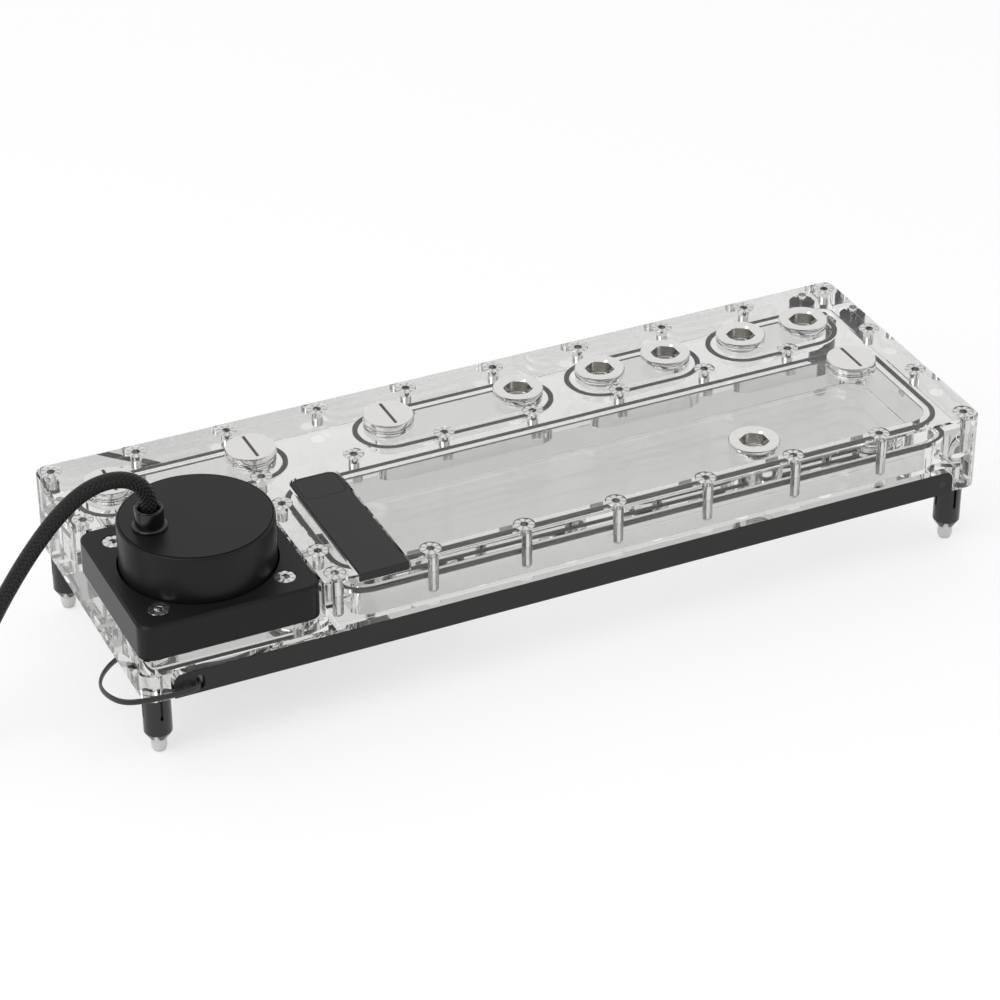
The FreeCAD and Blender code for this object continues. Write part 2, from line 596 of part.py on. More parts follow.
RING_LEVEL = f"{TOP} - {PORT_SINK}"
for step, (x, y) in enumerate(ADAPTER_PLACES, 1):
    nodes.append(make_adapter(f"port_adapter_{step}", x, y))
ring = port_ring("adapter_ring_pattern", ("0", "0", "0"))
nodes.append(group("adapter_seal_rings", ring, [spot(x, y, RING_LEVEL) for x, y in ADAPTER_PLACES]))
for plug_name, (x, y) in PLUG_PLACES.items():
    nodes.append(make_plug(plug_name, x, y))
    nodes.append(port_ring(plug_name + "_ring", spot(x, y, RING_LEVEL)))


# Badge plate and its inlaid blank tile.

def make_badge():
    left = f"{LEFT_SEAL} + sizes.badge_offset"
    body = new_body("badge_plate", spot(left, "0", f"{TOP} - sizes.badge_thickness"))
    outline = new_sketch(body, "badge_outline")
    width, length, corner = "sizes.badge_width", "sizes.badge_length", "sizes.badge_corner"
    rounded_rectangle(outline, "0.0", "-20", width, f"({length} + 20)", corner)
    base = pad(body, "badge", outline, "sizes.badge_thickness")
    front = new_sketch(body, "front_cut_outline", offset="sizes.badge_thickness + 1")
    polygon(front, [("-5", "-30"), (f"{width} + 5", "-30"), (f"{width} + 5", "0.25"), ("-5", "0.25")])
    cut = pocket(body, "front_cut", front, "sizes.badge_thickness + 2")
    dress(body, "Chamfer", "badge_edge", cut, "0.4", at_height("sizes.badge_thickness"))
    recess = new_sketch(body, "tile_recess_outline", offset="sizes.badge_thickness")
    border, gap = "sizes.tile_border", "sizes.tile_gap"
    rounded_rectangle(recess, f"({border} - {gap})", f"({length} - {border} - sizes.tile_length - {gap})",
                      f"({width} - 2 * {border} + 2 * {gap})", f"(sizes.tile_length + 2 * {gap})",
                      f"({corner} - {border} + {gap})")
    pocket(body, "tile_recess", recess, "sizes.tile_thickness")
    tile = new_body("badge_tile", spot(left, "0", f"{TOP} - sizes.tile_thickness"))
    face = new_sketch(tile, "tile_outline")
    rounded_rectangle(face, border, f"({length} - {border} - sizes.tile_length)",
                      f"({width} - 2 * {border})", "sizes.tile_length", f"({corner} - {border})")
    pad(tile, "tile", face, "sizes.tile_thickness")
    return [body, tile]


nodes += make_badge()


# Pump: clamp, can, wet housing, rotor and stator, all about one axis.

HOUSING_TOP = "sizes.housing_thickness"
HOUSING_RADIUS = f"({CAN_INNER} - sizes.housing_gap)"
CUP_INNER = "(sizes.cup_radius - sizes.cup_wall)"
CUP_ROOF = "(sizes.cup_height - sizes.cup_wall)"
MAGNET_RADIUS = f"({CUP_INNER} - sizes.magnet_gap)"
IMPELLER_RADIUS = f"({VOLUTE} - sizes.impeller_side_gap)"
DISC_LOW = "(-sizes.impeller_gap - sizes.disc_thickness)"
MAGNET_LOW = "(sizes.hub_height - sizes.impeller_gap)"


def make_clamp():
    body = new_body("pump_clamp_plate", spot(*PUMP, SEAT))
    outline = new_sketch(body, "clamp_outline")
    size = f"2 * {CLAMP_HALF}"
    rounded_rectangle(outline, f"-{CLAMP_HALF}", f"-{CLAMP_HALF}", size, size, "sizes.clamp_corner")
    base = pad(body, "clamp", outline, "sizes.clamp_thickness")
    dress(body, "Chamfer", "clamp_edge", base, "sizes.clamp_chamfer", at_height("sizes.clamp_thickness"))
    bore = new_sketch(body, "bore_outline", offset="sizes.clamp_thickness")
    circle(bore, "0", "0", "sizes.can_radius + sizes.can_gap")
    pocket(body, "can_bore", bore, "sizes.clamp_thickness + 1")
    sink = new_sketch(body, "flange_sink_outline", offset="sizes.can_flange_height")
    circle(sink, "0", "0", f"{CAN_FLANGE} + sizes.flange_gap")
    pocket(body, "flange_sink", sink, "sizes.can_flange_height + 1")
    heads = new_sketch(body, "clamp_screw_outline", offset="sizes.clamp_thickness")
    circles(heads, [(x + CLAMP_REACH, y + CLAMP_REACH) for x in ("-", "") for y in ("-", "")],
            SCREW_HOLE)
    doc.recompute()
    holes = body.newObject("PartDesign::Hole", "clamp_screw_holes")
    holes.Profile = heads
    body.Tip = holes
    holes.ThreadType = "None"
    holes.DepthType = "ThroughAll"
    holes.DrillPoint = "Flat"
    holes.HoleCutType = "Countersink"
    holes.HoleCutCustomValues = True
    holes.setExpression("Diameter", f"2 * {SCREW_HOLE}")
    holes.setExpression("HoleCutDiameter", "2 * (sizes.screw_head_radius + sizes.screw_gap)")
    holes.HoleCutCountersinkAngle = 90
    return body


def make_can():
    body = new_body("pump_can", spot(*PUMP, SEAT))
    roof = "sizes.can_height - sizes.can_top"
    revolve(body, "shell", [
        (CAN_INNER, "0"), (CAN_FLANGE, "0"), (CAN_FLANGE, "sizes.can_flange_height"),
        ("sizes.can_radius", "sizes.can_flange_height"),
        ("sizes.can_radius", "sizes.can_height - sizes.can_bevel"),
        ("sizes.can_radius - sizes.can_bevel", "sizes.can_height"), ("0", "sizes.can_height"),
        ("0", roof), (CAN_INNER, roof)])
    hole = new_sketch(body, "cable_hole_outline", offset="sizes.can_height")
    circle(hole, "-sizes.gland_offset", "0", "sizes.gland_bore_radius")
    pocket(body, "cable_hole", hole, "sizes.can_top + 1")
    return body


def make_housing():
    body = new_body("pump_housing", spot(*PUMP, SEAT))
    revolve(body, "housing", [
        (CUP_INNER, "0"), (HOUSING_RADIUS, "0"), (HOUSING_RADIUS, HOUSING_TOP),
        ("sizes.cup_radius", HOUSING_TOP), ("sizes.cup_radius", "sizes.cup_height"),
        ("0", "sizes.cup_height"), ("0", CUP_ROOF), (CUP_INNER, CUP_ROOF)])
    return body


def make_impeller():
    """A hub and a disc with swept blades under it, driven by the magnet above."""
    body = new_body("impeller", spot(*PUMP, SEAT))
    bore = "sizes.bushing_radius"
    hub = f"({MAGNET_RADIUS} - sizes.hub_margin)"
    revolve(body, "disc", [
        (bore, DISC_LOW), (IMPELLER_RADIUS, DISC_LOW), (IMPELLER_RADIUS, "-sizes.impeller_gap"),
        (hub, "-sizes.impeller_gap"), (hub, MAGNET_LOW), (bore, MAGNET_LOW)])
    floor = "(sizes.impeller_gap - sizes.volute_deep)"
    blade = new_sketch(body, "blade_outline", offset=floor)
    inner = number("sizes.blade_root")
    outer = number(f"{IMPELLER_RADIUS} - sizes.blade_margin")
    thick, sweep = number("sizes.blade_thickness"), math.radians(BLADE_SWEEP)
    root, tip = V(inner, 0, 0), V(outer * math.cos(sweep), outer * math.sin(sweep), 0)
    bulge = V(0.58 * outer, 0.12 * outer, 0)
    rear_root, rear_bulge = root + V(0, thick, 0), bulge + V(-0.25 * thick, thick, 0)
    rear_tip = tip + V(-0.8 * thick, 0.4 * thick, 0)
    front, rear = Part.Arc(root, bulge, tip), Part.Arc(rear_tip, rear_bulge, rear_root)
    blade.addGeometry([front, Part.LineSegment(tip, rear_tip), rear, Part.LineSegment(rear_root, root)])
    doc.recompute()
    vane = pad(body, "blade", blade, f"{DISC_LOW} - {floor} + 0.2")
    polar(body, "blades", vane, BLADES)
    return body


def make_rotor_pieces():
    magnet = make_ring("rotor_magnet", spot(*PUMP, f"{SEAT} + {MAGNET_LOW}"), "sizes.bushing_radius",
                       f"{MAGNET_RADIUS} - sizes.bushing_radius", "sizes.magnet_height")
    bushing = make_ring("rotor_bushing", spot(*PUMP, f"{SEAT} + {DISC_LOW}"),
                        "sizes.shaft_radius + sizes.running_gap",
                        "sizes.bushing_radius - sizes.shaft_radius - sizes.running_gap",
                        f"{MAGNET_LOW} + sizes.magnet_height - {DISC_LOW}")
    shaft = new_body("pump_shaft", spot(*PUMP, SEAT))
    shape = new_sketch(shaft, "shaft_outline", offset="-sizes.shaft_seat")
    circle(shape, "0", "0", "sizes.shaft_radius")
    pad(shaft, "pin", shape, f"{CUP_ROOF} + sizes.shaft_seat")
    return [magnet, bushing, shaft]


def make_stator():
    body = new_body("stator", spot(*PUMP, f"{SEAT} + {HOUSING_TOP} + 1"))
    bore, outside = "(sizes.cup_radius + 0.3)", f"({CAN_INNER} - sizes.stator_gap)"
    revolve(body, "core", [
        (bore, "0"), (outside, "0"), (outside, "sizes.stator_height"), (bore, "sizes.stator_height")])
    slot = new_sketch(body, "winding_slot", offset="sizes.stator_height")
    circle(slot, f"({bore} + {outside}) / 2", "0", "sizes.winding_radius")
    cut = pocket(body, "winding_space", slot, "sizes.stator_height + 1")
    polar(body, "winding_spaces", cut, 6)
    board = new_body("control_board", spot(*PUMP, f"{SEAT} + sizes.cup_height + 0.3"))
    face = new_sketch(board, "board_outline")
    circle(face, "0", "0", f"{CAN_INNER} - sizes.board_gap")
    pad(board, "board", face, "sizes.board_thickness")
    return [body, board]


def make_gland():
    place = spot(f"({PUMP_INSET} - sizes.gland_offset)", PUMP_INSET, f"{SEAT} + sizes.can_height")
    body = new_body("cable_gland", place)
    bore, step = "sizes.gland_bore_radius", "sizes.gland_flange_height"
    revolve(body, "gland", [
        (bore, "0"), ("sizes.gland_flange_radius", "0"), ("sizes.gland_flange_radius", f"{step} - 0.4"),
        ("sizes.gland_flange_radius - 0.4", step), ("sizes.gland_radius", step),
        ("sizes.gland_radius", "sizes.gland_height - 0.4"),
        ("sizes.gland_radius - 0.4", "sizes.gland_height"), (bore, "sizes.gland_height")])
    return body


nodes += [make_clamp(), make_can(), make_housing(), make_impeller()]
nodes += make_rotor_pieces()
nodes += make_stator()
nodes.append(make_gland())
nodes.append(make_ring("pump_seal_ring", spot(*PUMP, f"{SEAT} - sizes.pump_ring_height"),
                       PUMP_RING, "sizes.pump_ring_width", "sizes.pump_ring_height"))
clamp_screw = make_screw("clamp_screw_pattern", "(sizes.screw_length + 1)", "sizes.screw_radius",
                         "sizes.screw_head_radius")
nodes.append(group("clamp_screws", clamp_screw,
                   [spot(x, y, f"{SEAT} + sizes.clamp_thickness") for x, y in CLAMP_SCREW_PLACES]))


# Light bar in the front face.

def make_light_bar():
    cover = new_body("light_bar_cover", (*CORNER, "sizes.foot_gap"))
    outline = new_sketch(cover, "cover_outline", "XZ_Plane")
    rounded_rectangle(outline, "sizes.bar_inset", "-6", f"({LENGTH} - 2 * sizes.bar_inset)",
                      "(sizes.bar_height + 6)", "sizes.bar_corner")
    pad(cover, "cover", outline, "sizes.bar_thickness", reverse=True)
    lower = new_sketch(cover, "lower_cut_outline", "XZ_Plane", "1")
    polygon(lower, [("-5", "-12"), (f"{LENGTH} + 5", "-12"), (f"{LENGTH} + 5", "0"), ("-5", "0")])
    pocket(cover, "lower_cut", lower, "sizes.bar_thickness + 2")
    slot = new_sketch(cover, "slot_outline", "XZ_Plane")
    half = "sizes.bar_slot_width / 2"
    left = f"(sizes.bar_inset + sizes.bar_slot_inset - {half})"
    rounded_rectangle(slot, left, "(sizes.bar_slot_level - sizes.bar_slot_height / 2)",
                      "sizes.bar_slot_width", "sizes.bar_slot_height", f"({half} - 0.05)")
    pocket(cover, "cable_slot", slot, "sizes.bar_thickness")
    screws = new_sketch(cover, "cover_screw_outline", "XZ_Plane")
    circles(screws, BAR_SCREW_PLACES, "sizes.bar_screw_radius + sizes.bar_screw_gap")
    doc.recompute()
    pocket(cover, "cover_screw_holes", screws, "sizes.bar_thickness")
    sinks = new_sketch(cover, "cover_sink_outline", "XZ_Plane")
    circles(sinks, BAR_SCREW_PLACES, "sizes.bar_head_radius + sizes.bar_screw_gap")
    pocket(cover, "cover_screw_sinks", sinks, "sizes.bar_sink_deep")

    strip = new_body("led_strip", (*CORNER, "sizes.foot_gap"))
    flat = new_sketch(strip, "strip_outline", "XZ_Plane", "-sizes.bar_thickness")
    low = "(sizes.bar_height - sizes.strip_height) / 2"
    start = "(sizes.bar_inset + sizes.strip_clear)"
    end = f"({LENGTH} - {start})"
    high = f"{low} + sizes.strip_height"
    polygon(flat, [(start, low), (end, low), (end, high), (start, high)])
    pad(strip, "strip", flat, "sizes.strip_thickness", reverse=True)

    chip = doc.addObject("Part::Box", "chip_pattern")
    chip.setExpression("Length", "sizes.chip_size")
    chip.setExpression("Width", "sizes.chip_thickness")
    chip.setExpression("Height", "sizes.chip_size")
    pitch = f"({end} - {start} - sizes.chip_size - 2) / {LIGHT_CHIPS - 1}"
    level = "sizes.foot_gap + (sizes.bar_height - sizes.chip_size) / 2"
    places = [spot(f"{start} + 1 + {step} * {pitch}", "sizes.bar_thickness + sizes.strip_thickness", level)
              for step in range(LIGHT_CHIPS)]
    chips = group("led_chips", chip, places)

    pattern = doc.addObject("Part::Feature", "cover_screw_pattern")
    inwards = V(0, 1, 0)
    head = Part.makeCylinder(number("sizes.bar_head_radius"), number("sizes.bar_head_height"), V(), inwards)
    length = number("sizes.light_recess + sizes.bar_screw_bite")
    shaft = Part.makeCylinder(number("sizes.bar_screw_radius"), length, V(), inwards)
    pattern.Shape = head.fuse(shaft).removeSplitter()
    bar_screws = group("light_bar_screws", pattern, [
        spot(x, "0", f"sizes.foot_gap + {level}") for x, level in BAR_SCREW_PLACES])
    return [cover, strip, chips, bar_screws]


nodes += make_light_bar()


# Feet: a slotted sleeve on a threaded stud, with a clear finned tip.

def make_feet():
    sleeve = new_body("sleeve_pattern")
    inner = "(sizes.foot_radius - sizes.foot_wall)"
    low, crown_low = "sizes.foot_tip_height", "(sizes.foot_tip_height - sizes.crown_height)"
    web = "(sizes.foot_gap - sizes.foot_web)"
    hole = "(sizes.stud_radius + 0.1)"
    neck = "(sizes.foot_tip_radius + 0.1)"
    revolve(sleeve, "tube", [
        (neck, crown_low), ("sizes.crown_radius", crown_low), ("sizes.foot_radius", low),
        ("sizes.foot_radius", "sizes.foot_gap"), (hole, "sizes.foot_gap"), (hole, web), (inner, web),
        (inner, low), (neck, low)])
    half = "sizes.foot_slot_width / 2"
    bottom = "(sizes.foot_gap - sizes.foot_slot_length)"
    side = new_sketch(sleeve, "wall_slot_outline", "XZ_Plane", "sizes.foot_radius + 1")
    polygon(side, [(f"-{half}", bottom), (half, bottom), (half, "sizes.foot_gap + 1"),
                   (f"-{half}", "sizes.foot_gap + 1")])
    cut = pocket(sleeve, "wall_slot", side, "sizes.foot_wall + 1")
    polar(sleeve, "wall_slots", cut, 4)
    notch = new_sketch(sleeve, "fin_notch_outline", "YZ_Plane", "sizes.foot_radius + 1")
    wide = "(sizes.fin_width / 2 + sizes.fin_gap)"
    polygon(notch, [(f"-{wide} - 0.6", f"{crown_low} - 1"), (f"{wide} + 0.6", f"{crown_low} - 1"),
                    (wide, low), (f"-{wide}", low)])
    gap = pocket(sleeve, "fin_notch", notch, f"sizes.foot_radius + 1 - {neck} + 0.8")
    polar(sleeve, "fin_notches", gap, FOOT_FINS)

    tip = new_body("tip_pattern")
    ball, stem = "sizes.foot_tip_radius", f"({inner} - 0.1)"
    stem_low, stem_top = f"({low} + 0.1)", f"({low} + sizes.tip_stem)"
    revolve(tip, "tip", [
        ("0", "0"), (f"{ball} * 0.5", "0"), (f"{ball} * 0.8", f"{ball} * 0.22"),
        (f"{ball} * 0.96", f"{ball} * 0.6"), (ball, ball), (ball, stem_low), (stem, stem_low),
        (stem, stem_top), ("0", stem_top)])
    fin = new_sketch(tip, "fin_outline", "XZ_Plane")
    polygon(fin, [("1", crown_low), ("sizes.crown_radius - 0.1", crown_low),
                  ("sizes.foot_radius - 0.2", f"{low} - 0.2"), ("1", f"{low} - 0.2")])
    wing = pad(tip, "fin", fin, "sizes.fin_width", midplane=True)
    doc.recompute()
    polar(tip, "fins", wing, FOOT_FINS)

    stud = new_body("stud_pattern")
    pin = new_sketch(stud, "stud_outline", offset=stem_top)
    circle(pin, "0", "0", "sizes.stud_radius")
    pad(stud, "stud", pin, f"sizes.foot_gap + sizes.stud_seat - {stem_top}")
    places = [spot(x, y, "0") for x, y in FOOT_PLACES]
    return [group(label, seed, places) for label, seed in (
        ("foot_sleeves", sleeve), ("foot_tips", tip), ("foot_studs", stud))]


nodes += make_feet()


# Cables: straight runs joined by tangent arcs, and one plain solid for each put-away coil.

def cable_path(points):
    """The wire of a cable's route, each corner an arc as large as its two runs allow."""
    runs = [(points[step + 1] - points[step]).Length for step in range(len(points) - 1)]
    edges, start, radii = [], points[0], []
    for step in range(1, len(points) - 1):
        corner = points[step]
        back = (points[step - 1] - corner).normalize()
        ahead = (points[step + 1] - corner).normalize()
        turn = math.pi - back.getAngle(ahead)
        reach = 0.45 * min(runs[step - 1], runs[step])
        radius = reach / math.tan(turn / 2)
        radii.append(round(radius, 1))
        enter, leave = corner + back * reach, corner + ahead * reach
        towards = (back + ahead).normalize()
        middle = corner + towards * (radius / math.cos(turn / 2) - radius)
        edges.append(Part.LineSegment(start, enter).toShape())
        edges.append(Part.Arc(enter, middle, leave).toShape())
        start = leave
    edges.append(Part.LineSegment(start, points[-1]).toShape())
    return Part.Wire(edges), radii


def make_cable(label, points, radius):
    wire, radii = cable_path(points)
    direction = (points[1] - points[0]).normalize()
    section = Part.Wire([Part.Circle(points[0], direction, radius).toShape()])
    shape = wire.makePipeShell([section], True, False)
    expected = math.pi * radius * radius * wire.Length
    print(f"{label}: length {wire.Length:.1f}, volume {shape.Volume:.1f} of {expected:.1f}, radii {radii}")
    node = doc.addObject("Part::Feature", label)
    node.Label = label
    node.Shape = shape
    return node


def make_put_away(name, points, cable, middle, height, side, turned, reach, size):
    """A neat coil on the floor beside a route's end, with the tail and connector that leave it.

    side is 1 for a clockwise coil, -1 for the other way; size is the connector's.
    """
    ahead = points[-1] - points[-2]
    ahead = V(ahead.x, ahead.y, 0).normalize()
    across = V(ahead.y, -ahead.x, 0) * side
    inner, outer = middle - cable, middle + cable
    lead = math.sqrt(outer ** 2 - middle ** 2) - 1
    centre = V(points[-1].x, points[-1].y, 0) + ahead * lead + across * middle
    coil = doc.addObject("Part::Feature", name + "_cable_coil")
    coil.Shape = Part.makeCylinder(outer, height, centre).cut(Part.makeCylinder(inner, height, centre))
    angle = math.atan2(-across.y, -across.x) - side * turned
    spoke = V(math.cos(angle), math.sin(angle), 0)
    out = V(side * spoke.y, -side * spoke.x, 0)
    leave = centre + spoke * middle + V(0, 0, cable)
    tail = doc.addObject("Part::Feature", name + "_cable_tail")
    tail.Shape = Part.makeCylinder(cable, reach - lead, leave + out * lead, out)
    connector = doc.addObject("Part::Box", name + "_connector")
    connector.Length, connector.Width, connector.Height = size
    left = V(-out.y, out.x, 0)
    connector.Placement.Rotation = FreeCAD.Rotation(V(0, 0, 1), math.degrees(math.atan2(out.y, out.x)))
    corner = leave + out * reach - left * (size[1] / 2)
    connector.Placement.Base = V(corner.x, corner.y, 0)
    print(f"{name} coil centre {centre.x:.2f} {centre.y:.2f}, leaves at {leave}, towards {out}")
    for item in (coil, tail, connector):
        item.Label = item.Name
    return [coil, tail, connector]


def route(points):
    """Route points from the block's left end, its front face and the lid's top."""
    left, front, top = number(CORNER[0]), number(CORNER[1]), number(TOP)
    return [V(left + x, front + y, top + z) for x, y, z in points]


gland_x = number(f"{PUMP_INSET} - sizes.gland_offset")
pump_y = number(PUMP_INSET)
can_roof = number("sizes.can_height - sizes.can_top") - number(TOP) + number(SEAT)
PUMP_CABLE_ROUTE = [
    (gland_x, pump_y, can_roof), (gland_x + 0.2, pump_y, 22.9), (gland_x - 0.1, pump_y, 30.2),
    (12.3, pump_y, 35.7), (4.9, pump_y - 0.1, 38.7), (-4.6, pump_y - 0.3, 37.4),
    (-14.2, pump_y - 0.6, 31.0), (-24.0, pump_y - 0.4, 20.0), (-33.5, pump_y + 0.4, 6.0),
    (-41.5, pump_y + 1.6, -8.5), (-49.0, pump_y + 2.6, -24.5), (-60.0, pump_y + 3.2, -37.5),
    (-75.0, pump_y + 3.4, -45.0), (-91.0, pump_y + 3.8, -46.4),
]
LIGHT_CABLE_ROUTE = [
    (19.4, 2.5, -26.6), (19.4, -0.5, -26.6), (16.3, -2.2, -26.7), (10.0, -2.0, -26.8),
    (0.6, -2.6, -25.9), (-7.2, -0.2, -26.2), (-10.1, 7.4, -27.7), (-9.9, 17.4, -30.2),
    (-6.0, 26.7, -32.6), (0.6, 34.6, -34.2), (9.5, 42.0, -36.9), (20.0, 50.0, -41.4),
    (31.5, 58.5, -45.6), (42.0, 67.0, -47.3), (50.5, 74.6, -47.4),
]
pump_route, light_route = route(PUMP_CABLE_ROUTE), route(LIGHT_CABLE_ROUTE)
cable, light_cable = number("sizes.cable_radius"), number("sizes.light_cable_radius")
nodes.append(make_cable("pump_cable", pump_route, cable))
nodes.append(make_cable("light_cable", light_route, light_cable))
for name, points, radius, side, turned in (
        ("pump", pump_route, cable, 1, 3 * math.pi),
        ("light", light_route, light_cable, -1, 5.8 * math.pi)):
    middle, height = number(f"sizes.{name}_coil_radius"), number(f"sizes.{name}_coil_height")
    plug = [number(f"sizes.{name}_plug_{size}") for size in ("length", "width", "height")]
    nodes += make_put_away(
        name, points, radius + number("sizes.cord_gap"), middle, height, side, turned,
        number(f"sizes.{name}_tail"), plug)


# Check every object and write one file for each node.

doc.recompute()
for item in doc.Objects:
    if any(state in ("Invalid", "Error") for state in item.State):
        raise ValueError(f"{item.Name} failed: {item.State}")
os.makedirs("parts", exist_ok=True)
for node in nodes:
    shape = node.Shape
    if shape.isNull() or not shape.isValid() or not shape.Solids:
        raise ValueError(f"{node.Label} has no valid shape")
    shape.exportStep(os.path.join("parts", node.Label + ".step"))
print(len(nodes), "nodes written")
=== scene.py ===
import math

import bmesh
import bpy
from mathutils import Matrix, Vector


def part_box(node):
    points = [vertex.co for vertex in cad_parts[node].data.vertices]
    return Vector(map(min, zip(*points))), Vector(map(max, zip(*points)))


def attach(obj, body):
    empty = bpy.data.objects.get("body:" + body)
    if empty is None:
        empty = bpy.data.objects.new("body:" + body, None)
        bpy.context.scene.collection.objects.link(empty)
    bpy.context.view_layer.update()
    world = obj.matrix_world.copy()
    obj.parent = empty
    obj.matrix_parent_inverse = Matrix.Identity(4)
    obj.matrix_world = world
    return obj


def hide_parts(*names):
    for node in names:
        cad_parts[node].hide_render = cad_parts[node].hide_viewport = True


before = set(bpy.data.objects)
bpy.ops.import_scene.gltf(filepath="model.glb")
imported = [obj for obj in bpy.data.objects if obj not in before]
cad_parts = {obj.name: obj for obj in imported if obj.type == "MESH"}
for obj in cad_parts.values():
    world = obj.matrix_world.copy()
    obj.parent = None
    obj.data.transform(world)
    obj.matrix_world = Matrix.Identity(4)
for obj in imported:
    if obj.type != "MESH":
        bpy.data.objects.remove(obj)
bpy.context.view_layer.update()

# Camera
# A long lens looks down on the block's front from its left, where the pump stands, with no shift and
# no blur.
camera_data = bpy.data.cameras.new("camera")
camera_data.sensor_width = 36
camera_data.lens = 119.19
camera_data.clip_start = 0.05
camera_data.clip_end = 20
camera = bpy.data.objects.new("camera", camera_data)
bpy.context.scene.collection.objects.link(camera)
camera.matrix_world = Matrix((
    (0.90601794, 0.22914798, -0.35584083, -0.42396),
    (-0.42323621, 0.48732662, -0.7637957, -0.89863),
    (-0.00161153, 0.84261733, 0.53851039, 0.66532),
    (0, 0, 0, 1),
))
bpy.context.scene.camera = camera
bpy.context.scene.view_settings.view_transform = "Standard"

# Pump cable
# A round lead in a black braided polyester sleeve stands up out of the pump's gland, bends over the
# side and runs along the floor. The rest is wound in a flat coil, with a moulded plug at its end.
MM = 0.001


def linear(code):
    """The linear colour of an sRGB hex value."""
    parts = [int(code[place:place + 2], 16) / 255 for place in (0, 2, 4)]
    curve = [part / 12.92 if part <= 0.04045 else ((part + 0.055) / 1.055) ** 2.4 for part in parts]
    return (*curve, 1)


def add_node(material, kind, settings=None, links=None):
    """Adds a node, gives it its settings by name, and links its inputs to other nodes' outputs."""
    node = material.node_tree.nodes.new(kind)
    for name, value in (settings or {}).items():
        if isinstance(name, str) and hasattr(node, name):
            setattr(node, name, value)
        else:
            node.inputs[name].default_value = value
    for name, source in (links or {}).items():
        material.node_tree.links.new(source, node.inputs[name])
    return node


def new_material(name):
    material = bpy.data.materials.new(name)
    material.use_nodes = True
    material.node_tree.nodes.clear()
    return material


def cord(name, points, material, wide, thick):
    """A smooth cord along one spline, with the route's points as its control points.

    Its map gives millimetres along the cord, and turns round it from 0 to 1."""
    data = bpy.data.curves.new(name, "CURVE")
    data.dimensions = "3D"
    data.resolution_u = 8
    data.twist_mode = "Z_UP"
    data.use_fill_caps = True
    spline = data.splines.new("NURBS")
    spline.points.add(len(points) - 1)
    for point, place in zip(spline.points, points):
        point.co = (place[0], place[1], place[2], 1)
    spline.order_u = 3
    spline.use_endpoint_u = True
    guide = bpy.data.objects.new(name + "_guide", data)
    bpy.context.scene.collection.objects.link(guide)
    bpy.context.view_layer.update()
    line = bpy.data.meshes.new_from_object(guide)
    path = [vertex.co.copy() for vertex in line.vertices]
    reach = [0]
    for here, there in zip(path, path[1:]):
        reach.append(reach[-1] + (there - here).length / MM)
    section_data = bpy.data.curves.new(name + "_section", "CURVE")
    outline = section_data.splines.new("POLY")
    outline.points.add(23)
    for step, point in enumerate(outline.points):
        angle = step * math.tau / 24
        waist = 1 if wide == thick else 1 - 0.12 * math.cos(angle) ** 2
        point.co = (thick / 2 * waist * math.cos(angle), wide / 2 * math.sin(angle), 0, 1)
    outline.use_cyclic_u = True
    section = bpy.data.objects.new(name + "_section", section_data)
    bpy.context.scene.collection.objects.link(section)
    data.bevel_mode = "OBJECT"
    data.bevel_object = section
    bpy.context.view_layer.update()
    tube = bpy.data.meshes.new_from_object(guide.evaluated_get(bpy.context.evaluated_depsgraph_get()))
    for corner in tube.uv_layers[0].data:
        corner.uv.x = reach[round(corner.uv.x * (len(path) - 1))]
    for face in tube.polygons:
        face.use_smooth = True
    tube.materials.clear()
    tube.materials.append(material)
    bpy.data.objects.remove(guide)
    bpy.data.objects.remove(section)
    piece = bpy.data.objects.new(name, tube)
    bpy.context.scene.collection.objects.link(piece)
    return piece, path


# Braided polyester: dull black yarn in crossed diagonals, each pick 1.8 mm long, a little coarser than
# the real sleeve so that it shows.
braided_polyester = new_material("braided_polyester_sleeve")
sleeve_map = add_node(braided_polyester, "ShaderNodeTexCoord")
# Ten yarns go round the sleeve each way, and a wave of this scale has one band for each unit.
picks = []
for turn in (10, -10):
    lay = add_node(
        braided_polyester, "ShaderNodeMapping", {"Scale": (1 / 1.8, turn, 1)},
        {"Vector": sleeve_map.outputs["UV"]})
    picks.append(add_node(
        braided_polyester, "ShaderNodeTexWave",
        {"wave_type": "BANDS", "bands_direction": "DIAGONAL", "wave_profile": "SIN", "Scale": math.pi / 5,
         "Distortion": 0.0},
        {"Vector": lay.outputs["Vector"]}))
braid = add_node(
    braided_polyester, "ShaderNodeMath", {"operation": "MAXIMUM"},
    {0: picks[0].outputs["Fac"], 1: picks[1].outputs["Fac"]})
yarn_colour = add_node(braided_polyester, "ShaderNodeValToRGB", None, {"Fac": braid.outputs["Value"]})
yarn_colour.color_ramp.elements[0].color = linear("080808")
yarn_colour.color_ramp.elements[1].color = linear("1B1B1A")
yarn_relief = add_node(
    braided_polyester, "ShaderNodeBump", {"Strength": 0.8, "Distance": 0.4 * MM},
    {"Height": braid.outputs["Value"]})
braided_polyester_shader = add_node(
    braided_polyester, "ShaderNodeBsdfPrincipled",
    {"Roughness": 0.42, "IOR": 1.55, "Specular IOR Level": 0.25},
    {"Base Color": yarn_colour.outputs["Color"], "Normal": yarn_relief.outputs["Normal"]})
add_node(
    braided_polyester, "ShaderNodeOutputMaterial", None,
    {"Surface": braided_polyester_shader.outputs["BSDF"]})

